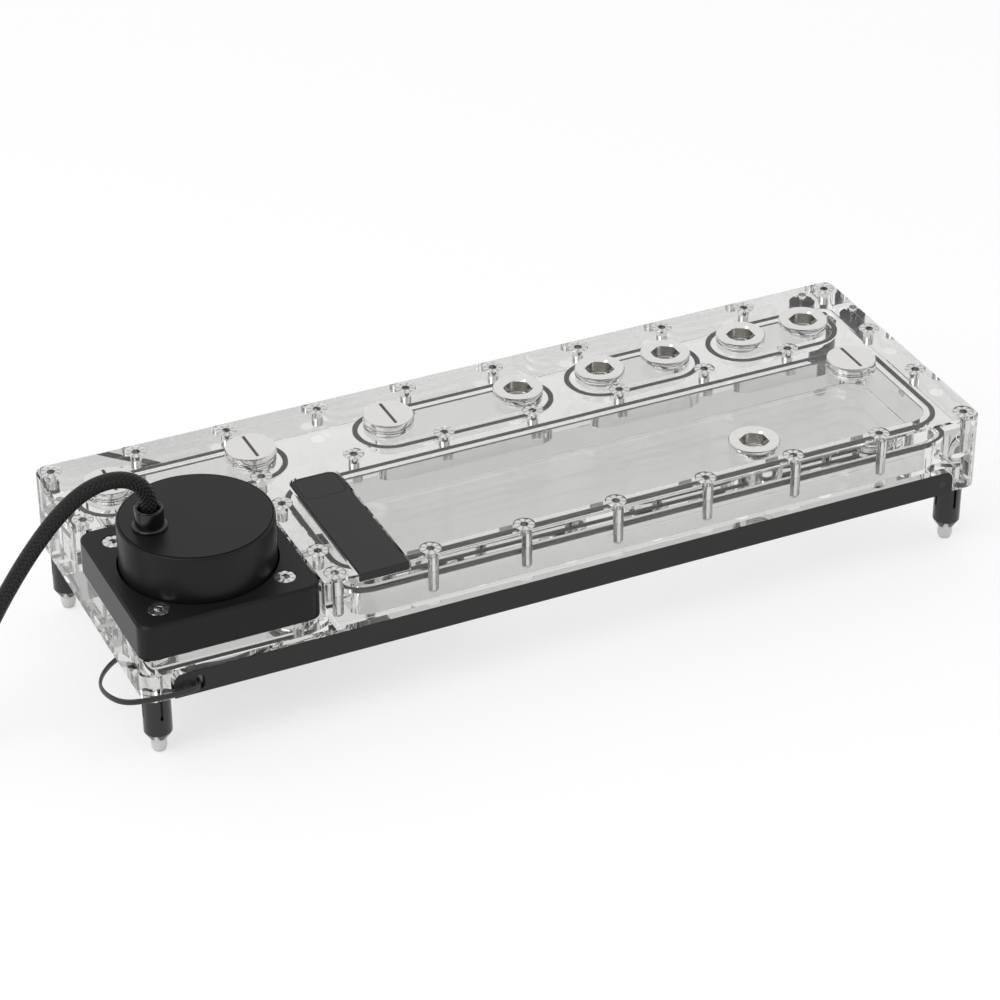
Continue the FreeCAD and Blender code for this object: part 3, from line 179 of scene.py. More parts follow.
pump_route = [
    (-143, -23, 70.3), (-142.8, -23, 77.9), (-143.1, -23, 85.2), (-146.7, -23, 90.7),
    (-154.1, -23.1, 93.7), (-163.6, -23.3, 92.4), (-173.2, -23.6, 86.0), (-183.0, -23.4, 75.0),
    (-192.5, -22.6, 61.0), (-200.5, -21.4, 46.5), (-208.0, -20.4, 30.5), (-219.0, -19.8, 17.5),
    (-234.0, -19.6, 10.0), (-250.0, -19.2, 8.6),
]
coil_x, coil_y, coil_radius = -262.18, 14.11, 33.0
for step in range(37):
    wound = step * 15
    angle = math.radians(268.57 - wound)
    drop = min(1, max(0, (wound - 300) / 60))
    pump_route.append((
        coil_x + coil_radius * math.cos(angle), coil_y + coil_radius * math.sin(angle), 8.55 - 5.7 * drop))
pump_route.append((-248.0, 46.77, 2.85))
pump_route.append((-235.4, 46.45, 2.85))
pump_cord, pump_line = cord(
    "pump_cord", [[value * MM for value in place] for place in pump_route], braided_polyester,
    5.6 * MM, 5.6 * MM)
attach(pump_cord, "block")
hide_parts("pump_cable", "pump_cable_coil", "pump_cable_tail")

# Moulded nylon: near black, with the fine matt grain of a spark-eroded mould, drawn 0.4 mm coarse so
# that it shows.
moulded_nylon = new_material("moulded_black_nylon")
grain_place = add_node(moulded_nylon, "ShaderNodeTexCoord")
grain = add_node(
    moulded_nylon, "ShaderNodeTexNoise", {"Scale": 1 / (0.4 * MM), "Detail": 3.0},
    {"Vector": grain_place.outputs["Object"]})
grain_tone = add_node(moulded_nylon, "ShaderNodeValToRGB", None, {"Fac": grain.outputs["Fac"]})
grain_tone.color_ramp.elements[0].color = linear("161616")
grain_tone.color_ramp.elements[1].color = linear("242424")
grain_relief = add_node(
    moulded_nylon, "ShaderNodeBump", {"Strength": 0.25, "Distance": 0.2 * MM},
    {"Height": grain.outputs["Fac"]})
moulded_nylon_shader = add_node(
    moulded_nylon, "ShaderNodeBsdfPrincipled", {"Roughness": 0.5, "IOR": 1.53},
    {"Base Color": grain_tone.outputs["Color"], "Normal": grain_relief.outputs["Normal"]})
add_node(
    moulded_nylon, "ShaderNodeOutputMaterial", None, {"Surface": moulded_nylon_shader.outputs["BSDF"]})


def finish_mesh(name, mesh, material, smooth=35):
    """Makes the mesh's piece, with faces smoothed up to an angle between neighbours."""
    bmesh.ops.remove_doubles(mesh, verts=mesh.verts, dist=0.000002)
    bmesh.ops.recalc_face_normals(mesh, faces=mesh.faces)
    limit = math.radians(smooth)
    for face in mesh.faces:
        face.smooth = True
    for edge in mesh.edges:
        edge.smooth = len(edge.link_faces) == 2 and edge.calc_face_angle(0) < limit
    data = bpy.data.meshes.new(name)
    mesh.to_mesh(data)
    mesh.free()
    data.materials.append(material)
    piece = bpy.data.objects.new(name, data)
    bpy.context.scene.collection.objects.link(piece)
    return piece


def connector(name, node, towards, ribs):
    """A moulded plug in the room of its solid: rounded, with grip ribs."""
    low, high = (Vector(corner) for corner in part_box(node))
    middle = (low + high) / 2
    length, width, height = 14, 12, 6
    if ribs == 3:
        length, width, height = 12, 7.6, 3
    mesh = bmesh.new()
    bmesh.ops.create_cube(mesh, size=1)
    bmesh.ops.scale(mesh, vec=(length, width, height), verts=mesh.verts)
    front = [face for face in mesh.faces if face.normal.x > 0.9]
    bmesh.ops.inset_region(mesh, faces=front, thickness=0.8, depth=0)
    bmesh.ops.extrude_discrete_faces(mesh, faces=front)
    sharp = [edge for edge in mesh.edges if len(edge.link_faces) == 2 and edge.calc_face_angle(0) > 1]
    bmesh.ops.bevel(
        mesh, geom=sharp, offset=min(0.7, height * 0.18), segments=3, profile=0.5, affect="EDGES",
        material=-1)
    for step in range(ribs):
        made = bmesh.ops.create_cube(mesh, size=1)["verts"]
        bmesh.ops.scale(mesh, vec=(0.7, width * 0.7, 0.5), verts=made)
        bmesh.ops.translate(mesh, vec=(-length / 2 + 2.2 + step * 1.5, 0, height / 2), verts=made)
    for vertex in mesh.verts:
        vertex.co.z = max(-height / 2, min(vertex.co.z, height / 2))
    heading = math.atan2(towards[1], towards[0])
    bmesh.ops.scale(mesh, vec=(MM, MM, MM), verts=mesh.verts)
    bmesh.ops.rotate(mesh, cent=(0, 0, 0), matrix=Matrix.Rotation(heading, 3, "Z"), verts=mesh.verts)
    bmesh.ops.translate(mesh, vec=middle, verts=mesh.verts)
    piece = finish_mesh(name, mesh, moulded_nylon)
    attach(piece, "block")
    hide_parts(node)
    return piece


def coil_tie(name, centre, radius, degrees, half_across, high):
    """A nylon tie drawn tight round a coil's turns, its head on the inner side."""
    strap_wide, strap_thick = 3.6, 0.9
    mesh = bmesh.new()
    outer = bmesh.ops.create_circle(mesh, segments=32, radius=1)["verts"]
    edge = bmesh.ops.extrude_edge_only(mesh, edges=mesh.edges[:])["geom"]
    inner = [part for part in edge if isinstance(part, bmesh.types.BMVert)]
    for vertices, drawn_in in ((outer, 0), (inner, strap_thick)):
        for vertex in vertices:
            across, up = (math.copysign(abs(part) ** 0.6, part) for part in vertex.co.xy)
            vertex.co = (across * (half_across - drawn_in), -strap_wide / 2, up * (high / 2 - drawn_in))
    band = bmesh.ops.extrude_face_region(mesh, geom=mesh.faces[:])["geom"]
    bmesh.ops.translate(
        mesh, vec=(0, strap_wide, 0), verts=[part for part in band if isinstance(part, bmesh.types.BMVert)])
    head = bmesh.ops.create_cube(mesh, size=1)["verts"]
    bmesh.ops.scale(mesh, vec=(2.6, 4.8, 4.2), verts=head)
    bmesh.ops.translate(mesh, vec=(-half_across - 0.9, 0, 0), verts=head)
    bmesh.ops.translate(mesh, vec=(radius, 0, high / 2), verts=mesh.verts)
    bmesh.ops.rotate(
        mesh, cent=(0, 0, 0), matrix=Matrix.Rotation(math.radians(degrees), 3, "Z"), verts=mesh.verts)
    bmesh.ops.translate(mesh, vec=(centre[0], centre[1], 0), verts=mesh.verts)
    bmesh.ops.scale(mesh, vec=(MM, MM, MM), verts=mesh.verts)
    piece = finish_mesh(name, mesh, moulded_nylon)
    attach(piece, "block")
    return piece


pump_plug = connector("pump_plug_moulding", "pump_connector", (0.9997, -0.0250), 4)
pump_tie = coil_tie("pump_lead_tie", (coil_x, coil_y), coil_radius, 225, 3.5, 11.7)

# Light cable
# A thin flat two-core lead comes out of the slot at the left end of the front bar, bows out beside the
# front foot and goes back under the block. The rest is wound in a small coil under it.
# Extruded PVC: satin charcoal, with a painted highlight that makes it lighter along the two cores than
# between them.
light_lead = new_material("satin_pvc_lead")
lead_map = add_node(light_lead, "ShaderNodeTexCoord")
lead_core_highlight = add_node(
    light_lead, "ShaderNodeTexWave",
    {"wave_type": "BANDS", "bands_direction": "Y", "Scale": math.pi / 10, "Distortion": 0.0},
    {"Vector": add_node(
        light_lead, "ShaderNodeMapping", {"Scale": (1, 2, 1)},
        {"Vector": lead_map.outputs["UV"]}).outputs["Vector"]})
lead_tone = add_node(light_lead, "ShaderNodeValToRGB", None, {"Fac": lead_core_highlight.outputs["Fac"]})
lead_tone.color_ramp.elements[0].color = linear("1E1E1E")
lead_tone.color_ramp.elements[1].color = linear("3B3B3B")
light_lead_shader = add_node(
    light_lead, "ShaderNodeBsdfPrincipled", {"Roughness": 0.45, "IOR": 1.52},
    {"Base Color": lead_tone.outputs["Color"]})
add_node(light_lead, "ShaderNodeOutputMaterial", None, {"Surface": light_lead_shader.outputs["BSDF"]})

light_route = [
    (-139.6, -52.5, 28.4), (-139.6, -55.5, 28.4), (-142.7, -57.2, 28.3), (-149.0, -57.0, 28.2),
    (-158.4, -57.6, 29.1), (-166.2, -55.2, 28.8), (-169.1, -47.6, 27.3), (-168.9, -37.6, 24.8),
    (-165.0, -28.3, 22.4), (-158.4, -20.4, 20.8), (-149.5, -13.0, 18.1), (-139.0, -5.0, 13.6),
    (-127.5, 3.5, 9.4), (-117.0, 12.0, 7.7), (-108.5, 19.6, 7.6),
]
for step in range(59):
    angle = math.radians(-48.21 + step * 18)
    light_route.append((
        -114.0 + 13.5 * math.cos(angle), 32.79 + 13.5 * math.sin(angle), 7.6 - 6.45 * step / 58))
light_route.append((-106.5, 19.98, 1.15))
light_route.append((-100.2, 20.62, 1.15))
light_cord, light_line = cord(
    "light_cord", [[value * MM for value in place] for place in light_route], light_lead,
    2.2 * MM, 1.3 * MM)
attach(light_cord, "block")
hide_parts("light_cable", "light_cable_coil", "light_cable_tail")
light_plug = connector("light_plug_moulding", "light_connector", (0.9949, 0.1011), 3)
light_tie = coil_tie("light_lead_tie", (-114.0, 32.79), 13.5, 132, 1.9, 8.0)

# Acrylic block and lid
# Two slabs of clear cast acrylic, 20 and 10 mm thick, milled and flame-polished. The lower one holds
# the reservoir and channels, and the lid closes them and leaves a corner open for the pump.
# Cast acrylic: water clear with a faint grey tint. No light bends where slabs are pressed or bonded
# together, or where a thread or a screw's cone fills its hole, so there the faces are left out of sight.
clear_acrylic = new_material("clear_cast_acrylic")
cast_place = add_node(clear_acrylic, "ShaderNodeTexCoord")
cast_axes = add_node(
    clear_acrylic, "ShaderNodeSeparateXYZ", None, {"Vector": cast_place.outputs["Object"]})
measure = {name.lower(): cast_axes.outputs[name] for name in "XYZ"}

# Seen from above, how far a place lies outside a rectangle, or from the nearest of its corners: the
# rectangle's centre, half its length and half its width, in millimetres.
for name, outside, x, y, half_x, half_y in (
        ("reservoir", True, 32.25, -16.9, 105.75, 17.8),
        ("pump_channel", True, -112.5, 32.5, 26.0, 0),
        ("second_channel", True, -8.5, 32.5, 25.5, 0),
        ("third_channel", True, 63.5, 32.5, 13.5, 0),
        ("right_channel", True, 121.75, 32.5, 13.25, 0),
        ("clamp_screw", False, -127, -23, 22.2, 22.2),
        ("badge_screw", False, -89, -19.15, 0, 16.15),
        ("right_screw", False, 154, -16.9, 0, 0),
        ("left_screw", False, -154, 33.1, 0, 16.9),
        ("rear_screw", False, -122.8, 50, 0, 0),
        ("stud", False, 0, 0, 152.6, 46.7),
        ("pump_port", False, -112.5, 32.5, 26.0, 0),
        ("second_port", False, -8.5, 32.5, 25.5, 0),
        ("third_port", False, 63.5, 32.5, 13.5, 0),
        ("right_port", False, 121.75, 32.5, 13.25, 0),
        ("fill_port", False, 135, -3, 0, 0),
        ("return_port", False, 77, -35.5, 0, 0)):
    away = cast_place.outputs["Object"]
    moves = [("SUBTRACT", (x * MM, y * MM, 0)), ("ABSOLUTE", (0, 0, 0)),
             ("SUBTRACT", (half_x * MM, half_y * MM, 0)), ("MULTIPLY", (1, 1, 0))]
    if outside:
        moves.append(("MAXIMUM", (0, 0, 0)))
    for operation, amount in moves:
        away = add_node(
            clear_acrylic, "ShaderNodeVectorMath", {"operation": operation, 1: amount},
            {0: away}).outputs["Vector"]
    measure[name] = add_node(
        clear_acrylic, "ShaderNodeVectorMath", {"operation": "LENGTH"}, {0: away}).outputs["Value"]

# Each line names a value and says how it is worked out from earlier values and from numbers.
for name, operation, *parts in (
        # The seam between the slabs, where it lies outside every cavity and outside the pump's notch.
        ("at_seam", "COMPARE", "z", 45 * MM, 0.05 * MM),
        ("off_reservoir", "GREATER_THAN", "reservoir", 7.8 * MM),
        ("left_channels", "MINIMUM", "pump_channel", "second_channel"),
        ("right_channels", "MINIMUM", "third_channel", "right_channel"),
        ("channels", "MINIMUM", "left_channels", "right_channels"),
        ("off_channels", "GREATER_THAN", "channels", 8.8 * MM),
        ("right_of_notch", "GREATER_THAN", "x", -94.6 * MM),
        ("behind_notch", "GREATER_THAN", "y", 9.4 * MM),
        ("off_notch", "MAXIMUM", "right_of_notch", "behind_notch"),
        ("seam_off_reservoir", "MULTIPLY", "at_seam", "off_reservoir"),
        ("seam_off_cavities", "MULTIPLY", "seam_off_reservoir", "off_channels"),
        ("pressed", "MULTIPLY", "seam_off_cavities", "off_notch"),
        # The bonded floor sheet's edge, and the ledge that it rests on.
        ("beside_sheet", "COMPARE", "reservoir", 10.3 * MM, 0.2 * MM),
        ("below_ledge", "LESS_THAN", "z", 33.05 * MM),
        ("bonded_edge", "MULTIPLY", "beside_sheet", "below_ledge"),
        ("over_ledge", "COMPARE", "reservoir", 9.05 * MM, 1.4 * MM),
        ("at_ledge", "COMPARE", "z", 33 * MM, 0.05 * MM),
        ("bonded_ledge", "MULTIPLY", "over_ledge", "at_ledge"),
        # Screws: eight columns in three rows, and the ones that stand outside those rows.
        ("from_first_column", "ADD", "x", 89 * MM),
        ("column", "PINGPONG", "from_first_column", 243 / 14 * MM),
        ("aside", "ABSOLUTE", "y"),
        ("past_outer_row", "SUBTRACT", "aside", 50 * MM),
        ("outer_row", "ABSOLUTE", "past_outer_row"),
        ("past_middle_row", "SUBTRACT", "y", 16.2 * MM),
        ("middle_row", "ABSOLUTE", "past_middle_row"),
        ("row", "MINIMUM", "outer_row", "middle_row"),
        ("column_square", "MULTIPLY", "column", "column"),
        ("row_square", "MULTIPLY", "row", "row"),
        ("grid_square", "ADD", "column_square", "row_square"),
        ("grid", "SQRT", "grid_square"),
        ("left_of_grid", "LESS_THAN", "x", -100 * MM),
        ("grid_screw", "ADD", "grid", "left_of_grid"),
        ("screw", "MINIMUM", "grid_screw", "clamp_screw"),
        ("screw", "MINIMUM", "screw", "badge_screw"),
        ("screw", "MINIMUM", "screw", "right_screw"),
        ("screw", "MINIMUM", "screw", "left_screw"),
        ("screw", "MINIMUM", "screw", "rear_screw"),
        ("near_head", "LESS_THAN", "screw", 4.2 * MM),
        ("at_head", "COMPARE", "z", 53 * MM, 1.92 * MM),
        ("in_head", "MULTIPLY", "near_head", "at_head"),
        ("in_screw_hole", "LESS_THAN", "screw", 2.6 * MM),
        ("near_stud", "LESS_THAN", "stud", 1.9 * MM),
        ("below_stud_end", "LESS_THAN", "z", 34 * MM),
        ("in_stud_hole", "MULTIPLY", "near_stud", "below_stud_end"),
        # Ports: the flange's recess in the lid's top, and the threaded hole below it.
        ("left_port", "MINIMUM", "pump_port", "second_port"),
        ("rear_port", "MINIMUM", "third_port", "right_port"),
        ("front_port", "MINIMUM", "fill_port", "return_port"),
        ("port", "MINIMUM", "left_port", "rear_port"),
        ("port", "MINIMUM", "port", "front_port"),
        ("near_flange", "LESS_THAN", "port", 9.3 * MM),
        ("at_flange", "COMPARE", "z", 53.65 * MM, 1.3 * MM),
        ("in_flange", "MULTIPLY", "near_flange", "at_flange"),
        ("near_thread", "LESS_THAN", "port", 6.8 * MM),
        ("at_thread", "COMPARE", "z", 49.5 * MM, 4.4 * MM),
        ("in_thread", "MULTIPLY", "near_thread", "at_thread"),
        ("joined", "MAXIMUM", "pressed", "bonded_edge"),
        ("joined", "MAXIMUM", "joined", "bonded_ledge"),
        ("joined", "MAXIMUM", "joined", "in_head"),
        ("joined", "MAXIMUM", "joined", "in_screw_hole"),
        ("joined", "MAXIMUM", "joined", "in_stud_hole"),
        ("joined", "MAXIMUM", "joined", "in_flange"),
        ("joined", "MAXIMUM", "joined", "in_thread")):
    numbers = {place: part for place, part in enumerate(parts) if not isinstance(part, str)}
    sources = {place: measure[part] for place, part in enumerate(parts) if isinstance(part, str)}
    measure[name] = add_node(
        clear_acrylic, "ShaderNodeMath", {"operation": operation, **numbers}, sources).outputs["Value"]

cast_haze = add_node(
    clear_acrylic, "ShaderNodeTexNoise", {"Scale": 1 / (25 * MM), "Detail": 2.0},
    {"Vector": cast_place.outputs["Object"]})
cast_tint = add_node(clear_acrylic, "ShaderNodeValToRGB", None, {"Fac": cast_haze.outputs["Fac"]})
cast_tint.color_ramp.elements[0].color = linear("E6E6E5")
cast_tint.color_ramp.elements[1].color = linear("EAEAE9")
cast_path = add_node(clear_acrylic, "ShaderNodeLightPath")
cast_body = add_node(
    clear_acrylic, "ShaderNodeBsdfPrincipled", {"Roughness": 0.0, "IOR": 1.49, "Transmission Weight": 1.0},
    {"Base Color": cast_tint.outputs["Color"]})
cast_shadow = add_node(clear_acrylic, "ShaderNodeBsdfTransparent", {"Color": linear("F7F7F6")})
cast_mix = add_node(
    clear_acrylic, "ShaderNodeMixShader", None,
    {0: cast_path.outputs["Is Shadow Ray"], 1: cast_body.outputs["BSDF"], 2: cast_shadow.outputs["BSDF"]})
cast_joint = add_node(clear_acrylic, "ShaderNodeBsdfTransparent", {"Color": linear("FFFFFF")})
cast_whole = add_node(
    clear_acrylic, "ShaderNodeMixShader", None,
    {0: measure["joined"], 1: cast_mix.outputs["Shader"], 2: cast_joint.outputs["BSDF"]})
# Light that has been mirrored inside four times is let out, where it would otherwise be lost.
cast_often = add_node(
    clear_acrylic, "ShaderNodeMath", {"operation": "GREATER_THAN", 1: 3.5},
    {0: cast_path.outputs["Glossy Depth"]})
cast_leak = add_node(clear_acrylic, "ShaderNodeBsdfTransparent", {"Color": linear("DCDCDB")})
cast_final = add_node(
    clear_acrylic, "ShaderNodeMixShader", None,
    {0: cast_often.outputs["Value"], 1: cast_whole.outputs["Shader"], 2: cast_leak.outputs["BSDF"]})
add_node(clear_acrylic, "ShaderNodeOutputMaterial", None, {"Surface": cast_final.outputs["Shader"]})


def dress_solid(node, material):
    """Gives a carried-over solid its finish."""
    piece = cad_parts[node]
    piece.data.materials.clear()
    piece.data.materials.append(material)


# The faces are drawn in by 0.02 mm, so that two slabs that touch keep a film of air.
for slab in ("lower_block", "reservoir_floor", "top_plate"):
    dress_solid(slab, clear_acrylic)
    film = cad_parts[slab].modifiers.new("film_of_air", "DISPLACE")
    film.mid_level = 0
    film.strength = -0.02 * MM

# Seals
# Grey silicone cord lies in milled grooves at the seam, one round the reservoir and one round each
# channel, and is pressed flat when the lid's screws are tightened.
# Extruded silicone: matt mid grey, with a faint 1.1 mm mottle from the filler.
silicone_cord = new_material("grey_silicone_cord")
cord_place = add_node(silicone_cord, "ShaderNodeTexCoord")
cord_noise = add_node(
    silicone_cord, "ShaderNodeTexNoise", {"Scale": 1 / (1.1 * MM), "Detail": 2.0},
    {"Vector": cord_place.outputs["Object"]})
cord_tone = add_node(silicone_cord, "ShaderNodeValToRGB", None, {"Fac": cord_noise.outputs["Fac"]})
cord_tone.color_ramp.elements[0].color = linear("4C4D4A")
cord_tone.color_ramp.elements[1].color = linear("5A5B58")
silicone_cord_shader = add_node(
    silicone_cord, "ShaderNodeBsdfPrincipled", {"Roughness": 0.55, "IOR": 1.41},
    {"Base Color": cord_tone.outputs["Color"]})
add_node(
    silicone_cord, "ShaderNodeOutputMaterial", None, {"Surface": silicone_cord_shader.outputs["BSDF"]})
for seal in ("reservoir_seal", "pump_channel_seal", "second_channel_seal", "third_channel_seal",
             "right_channel_seal"):
    dress_solid(seal, silicone_cord)

# Seal rings
# Square-cut nitrile rings sit in the lid under each flange and in the seat under the pump, and seal as
# the metal or the clamp presses on them.
# Cut nitrile rubber: dead black and dull.
nitrile_rubber = new_material("black_nitrile_rubber")
rubber_place = add_node(nitrile_rubber, "ShaderNodeTexCoord")
rubber_noise = add_node(
    nitrile_rubber, "ShaderNodeTexNoise", {"Scale": 1 / (0.65 * MM), "Detail": 3.0},
    {"Vector": rubber_place.outputs["Object"]})
rubber_tone = add_node(nitrile_rubber, "ShaderNodeValToRGB", None, {"Fac": rubber_noise.outputs["Fac"]})
rubber_tone.color_ramp.elements[0].color = linear("141414")
rubber_tone.color_ramp.elements[1].color = linear("202020")
nitrile_rubber_shader = add_node(
    nitrile_rubber, "ShaderNodeBsdfPrincipled", {"Roughness": 0.6, "IOR": 1.52},
    {"Base Color": rubber_tone.outputs["Color"]})
add_node(
    nitrile_rubber, "ShaderNodeOutputMaterial", None,
    {"Surface": nitrile_rubber_shader.outputs["BSDF"]})
for ring in ("stop_plug_left_ring", "stop_plug_pump_ring", "stop_plug_middle_ring", "fill_plug_ring",
             "adapter_seal_rings", "pump_seal_ring"):
    dress_solid(ring, nitrile_rubber)

# Lid screws
# Thirty countersunk stainless screws with a hexagon socket, M4 by 16, hold the lid on the block.
# Eight shallow hollows pressed round the socket make each polished head sparkle like a star.
# Polished stainless steel: bright and faintly warm, with scuffs drawn 0.8 mm coarse so that they show.
polished_stainless = new_material("polished_stainless_steel")
steel_place = add_node(polished_stainless, "ShaderNodeTexCoord")
steel_scuff = add_node(
    polished_stainless, "ShaderNodeTexNoise", {"Scale": 1 / (0.8 * MM), "Detail": 4.0},
    {"Vector": steel_place.outputs["Object"]})
steel_tone = add_node(polished_stainless, "ShaderNodeValToRGB", None, {"Fac": steel_scuff.outputs["Fac"]})
steel_tone.color_ramp.elements[0].color = linear("E4E4E2")
steel_tone.color_ramp.elements[1].color = linear("F4F4F2")
# Painted shade: the screw heads' socket and the hollows round it are mixed towards dark grey.
steel_painted_shade = add_node(polished_stainless, "ShaderNodeAttribute", {"attribute_name": "painted_shade"})
steel_shade = add_node(
    polished_stainless, "ShaderNodeMix", {"data_type": "RGBA", 7: linear("6F6F6D")},
    {0: steel_painted_shade.outputs["Fac"], 6: steel_tone.outputs["Color"]})
steel_gloss = add_node(
    polished_stainless, "ShaderNodeMapRange", {"To Min": 0.06, "To Max": 0.14},
    {"Value": steel_scuff.outputs["Fac"]})
polished_stainless_shader = add_node(
    polished_stainless, "ShaderNodeBsdfPrincipled", {"Metallic": 1.0},
    {"Base Color": steel_shade.outputs[2], "Roughness": steel_gloss.outputs["Result"]})
add_node(
    polished_stainless, "ShaderNodeOutputMaterial", None,
    {"Surface": polished_stainless_shader.outputs["BSDF"]})


def turned(mesh, profile, steps, closed=False):
    """Spins a profile of (radius, height) points in millimetres round Z, and gives its vertices."""
    points = [mesh.verts.new((radius, 0, height)) for radius, height in profile]
    edges = [mesh.edges.new(pair) for pair in zip(points, points[1:])]
    if closed:
        edges.append(mesh.edges.new((points[-1], points[0])))
    before = set(mesh.verts) - set(points)
    bmesh.ops.spin(
        mesh, geom=points + edges, cent=(0, 0, 0), axis=(0, 0, 1), angle=math.tau, steps=steps,
        use_merge=True)
    made = [vertex for vertex in mesh.verts if vertex not in before]
    bmesh.ops.remove_doubles(mesh, verts=made, dist=0.0005)
    return [vertex for vertex in made if vertex.is_valid]


def socket_screw(mesh, shaft, length, plain, head=3.7):
    """One countersunk screw, its head's top at height 0, with a thread below the plain shank.

    Its painted shade value is high in the socket and along the hollows of the head, where little light
    comes, and darkens them there."""
    profile = [(0, -2.0), (1.25, -1.9), (1.3, -0.1), (1.5, 0), (head - 0.2, 0), (head, -0.35),
               (shaft, -(head - shaft) - 0.35), (shaft, -plain)]
    pitch = 0.7
    level = -plain
    while level > -length + 1:
        profile += [(shaft - 0.32, level - 0.25 * pitch), (shaft - 0.32, level - 0.45 * pitch),
                    (shaft - 0.05, level - 0.7 * pitch), (shaft - 0.05, level - 0.95 * pitch)]
        level -= pitch
    profile += [(shaft - 0.5, -length + 0.1), (0, -length)]
    painted_shade = mesh.verts.layers.float.get("painted_shade") or mesh.verts.layers.float.new("painted_shade")
    made = turned(mesh, profile, 24)
    for vertex in made:
        radius = math.hypot(vertex.co.x, vertex.co.y)
        angle = math.degrees(math.atan2(vertex.co.y, vertex.co.x)) % 360
        if 1.2 < radius < 1.55 and vertex.co.z > -1.95:
            reach = (radius + 0.05) / radius / math.cos(math.radians(angle % 60 - 30))
            vertex.co.x *= reach
            vertex.co.y *= reach
        # Painted shade on the head: darker sectors along its hollows, and a darker socket.
        if 1.4 < radius < 3.75 and vertex.co.z > -0.5:
            vertex[painted_shade] = (0.5, 0.1, 0)[round(angle / 15) % 3]
        if radius < 1.4 and vertex.co.z > -2.1:
            vertex[painted_shade] = 0.4
        if 3 < radius < 3.6 and vertex.co.z > -0.05:
            vertex.co.z -= (0.3, 0.15, 0.15)[round(angle / 15) % 3]
    return made


column_x = [-89 + step * 243 / 7 for step in range(8)]
middle_row_y = 16.2
screw_places = (
    [(-154, 50), (-122.8, 50), (-154, middle_row_y)]
    + [(x, 50) for x in column_x] + [(x, middle_row_y) for x in column_x] + [(x, -50) for x in column_x]
    + [(column_x[-1], (middle_row_y - 50) / 2)]
    + [(column_x[0], -35.3), (column_x[0], middle_row_y - 19.2)]
)
screws = bmesh.new()
for step, (x, y) in enumerate(screw_places):
    made = socket_screw(screws, 2.0, 16, 7.5)
    bmesh.ops.rotate(screws, cent=(0, 0, 0), matrix=Matrix.Rotation(step * 0.83, 3, "Z"), verts=made)
    bmesh.ops.translate(screws, vec=(x, y, 55), verts=made)
bmesh.ops.scale(screws, vec=(MM, MM, MM), verts=screws.verts)
lid_screws = finish_mesh("lid_screws", screws, polished_stainless, smooth=14)
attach(lid_screws, "block")
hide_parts("plate_screws")

# Port adapters
# Six turned brass adapters, nickel plated, with a broad flange, a grooved neck and a hexagon drive
# in the mouth. They screw into the lid over the channels.
# Bright nickel over turned brass: a clear mirror, faintly warm, blurred a little by the tool's marks.
bright_nickel = new_material("bright_nickel_plate")
plate_place = add_node(bright_nickel, "ShaderNodeTexCoord")
turning_marks = add_node(
    bright_nickel, "ShaderNodeTexNoise", {"Scale": 1 / (1.1 * MM), "Detail": 3.0},
    {"Vector": plate_place.outputs["Object"]})
nickel_tone = add_node(bright_nickel, "ShaderNodeValToRGB", None, {"Fac": turning_marks.outputs["Fac"]})
nickel_tone.color_ramp.elements[0].color = linear("EDECE9")
nickel_tone.color_ramp.elements[1].color = linear("F7F6F4")
nickel_gloss = add_node(
    bright_nickel, "ShaderNodeMapRange", {"To Min": 0.07, "To Max": 0.14},
    {"Value": turning_marks.outputs["Fac"]})
bright_nickel_shader = add_node(
    bright_nickel, "ShaderNodeBsdfPrincipled", {"Metallic": 1.0},
    {"Base Color": nickel_tone.outputs["Color"], "Roughness": nickel_gloss.outputs["Result"]})
add_node(
    bright_nickel, "ShaderNodeOutputMaterial", None, {"Surface": bright_nickel_shader.outputs["BSDF"]})
# The bore's metal is rougher than the flange, and painted darker as shade inside the bore.
bore_shade_material = new_material("adapter_bore_painted_shade")
bore_place = add_node(bore_shade_material, "ShaderNodeTexCoord")
bore_marks = add_node(
    bore_shade_material, "ShaderNodeTexNoise", {"Scale": 1 / (2 * MM), "Detail": 2.0},
    {"Vector": add_node(
        bore_shade_material, "ShaderNodeMapping", {"Scale": (1, 1, 0.1)},
        {"Vector": bore_place.outputs["Object"]}).outputs["Vector"]})
bore_tone = add_node(bore_shade_material, "ShaderNodeValToRGB", None, {"Fac": bore_marks.outputs["Fac"]})
bore_tone.color_ramp.elements[0].color = linear("B4B3AF")
bore_tone.color_ramp.elements[1].color = linear("DEDDD9")
bore_shade_shader = add_node(
    bore_shade_material, "ShaderNodeBsdfPrincipled", {"Metallic": 1.0, "Roughness": 0.22},
    {"Base Color": bore_tone.outputs["Color"]})
add_node(
    bore_shade_material, "ShaderNodeOutputMaterial", None, {"Surface": bore_shade_shader.outputs["BSDF"]})


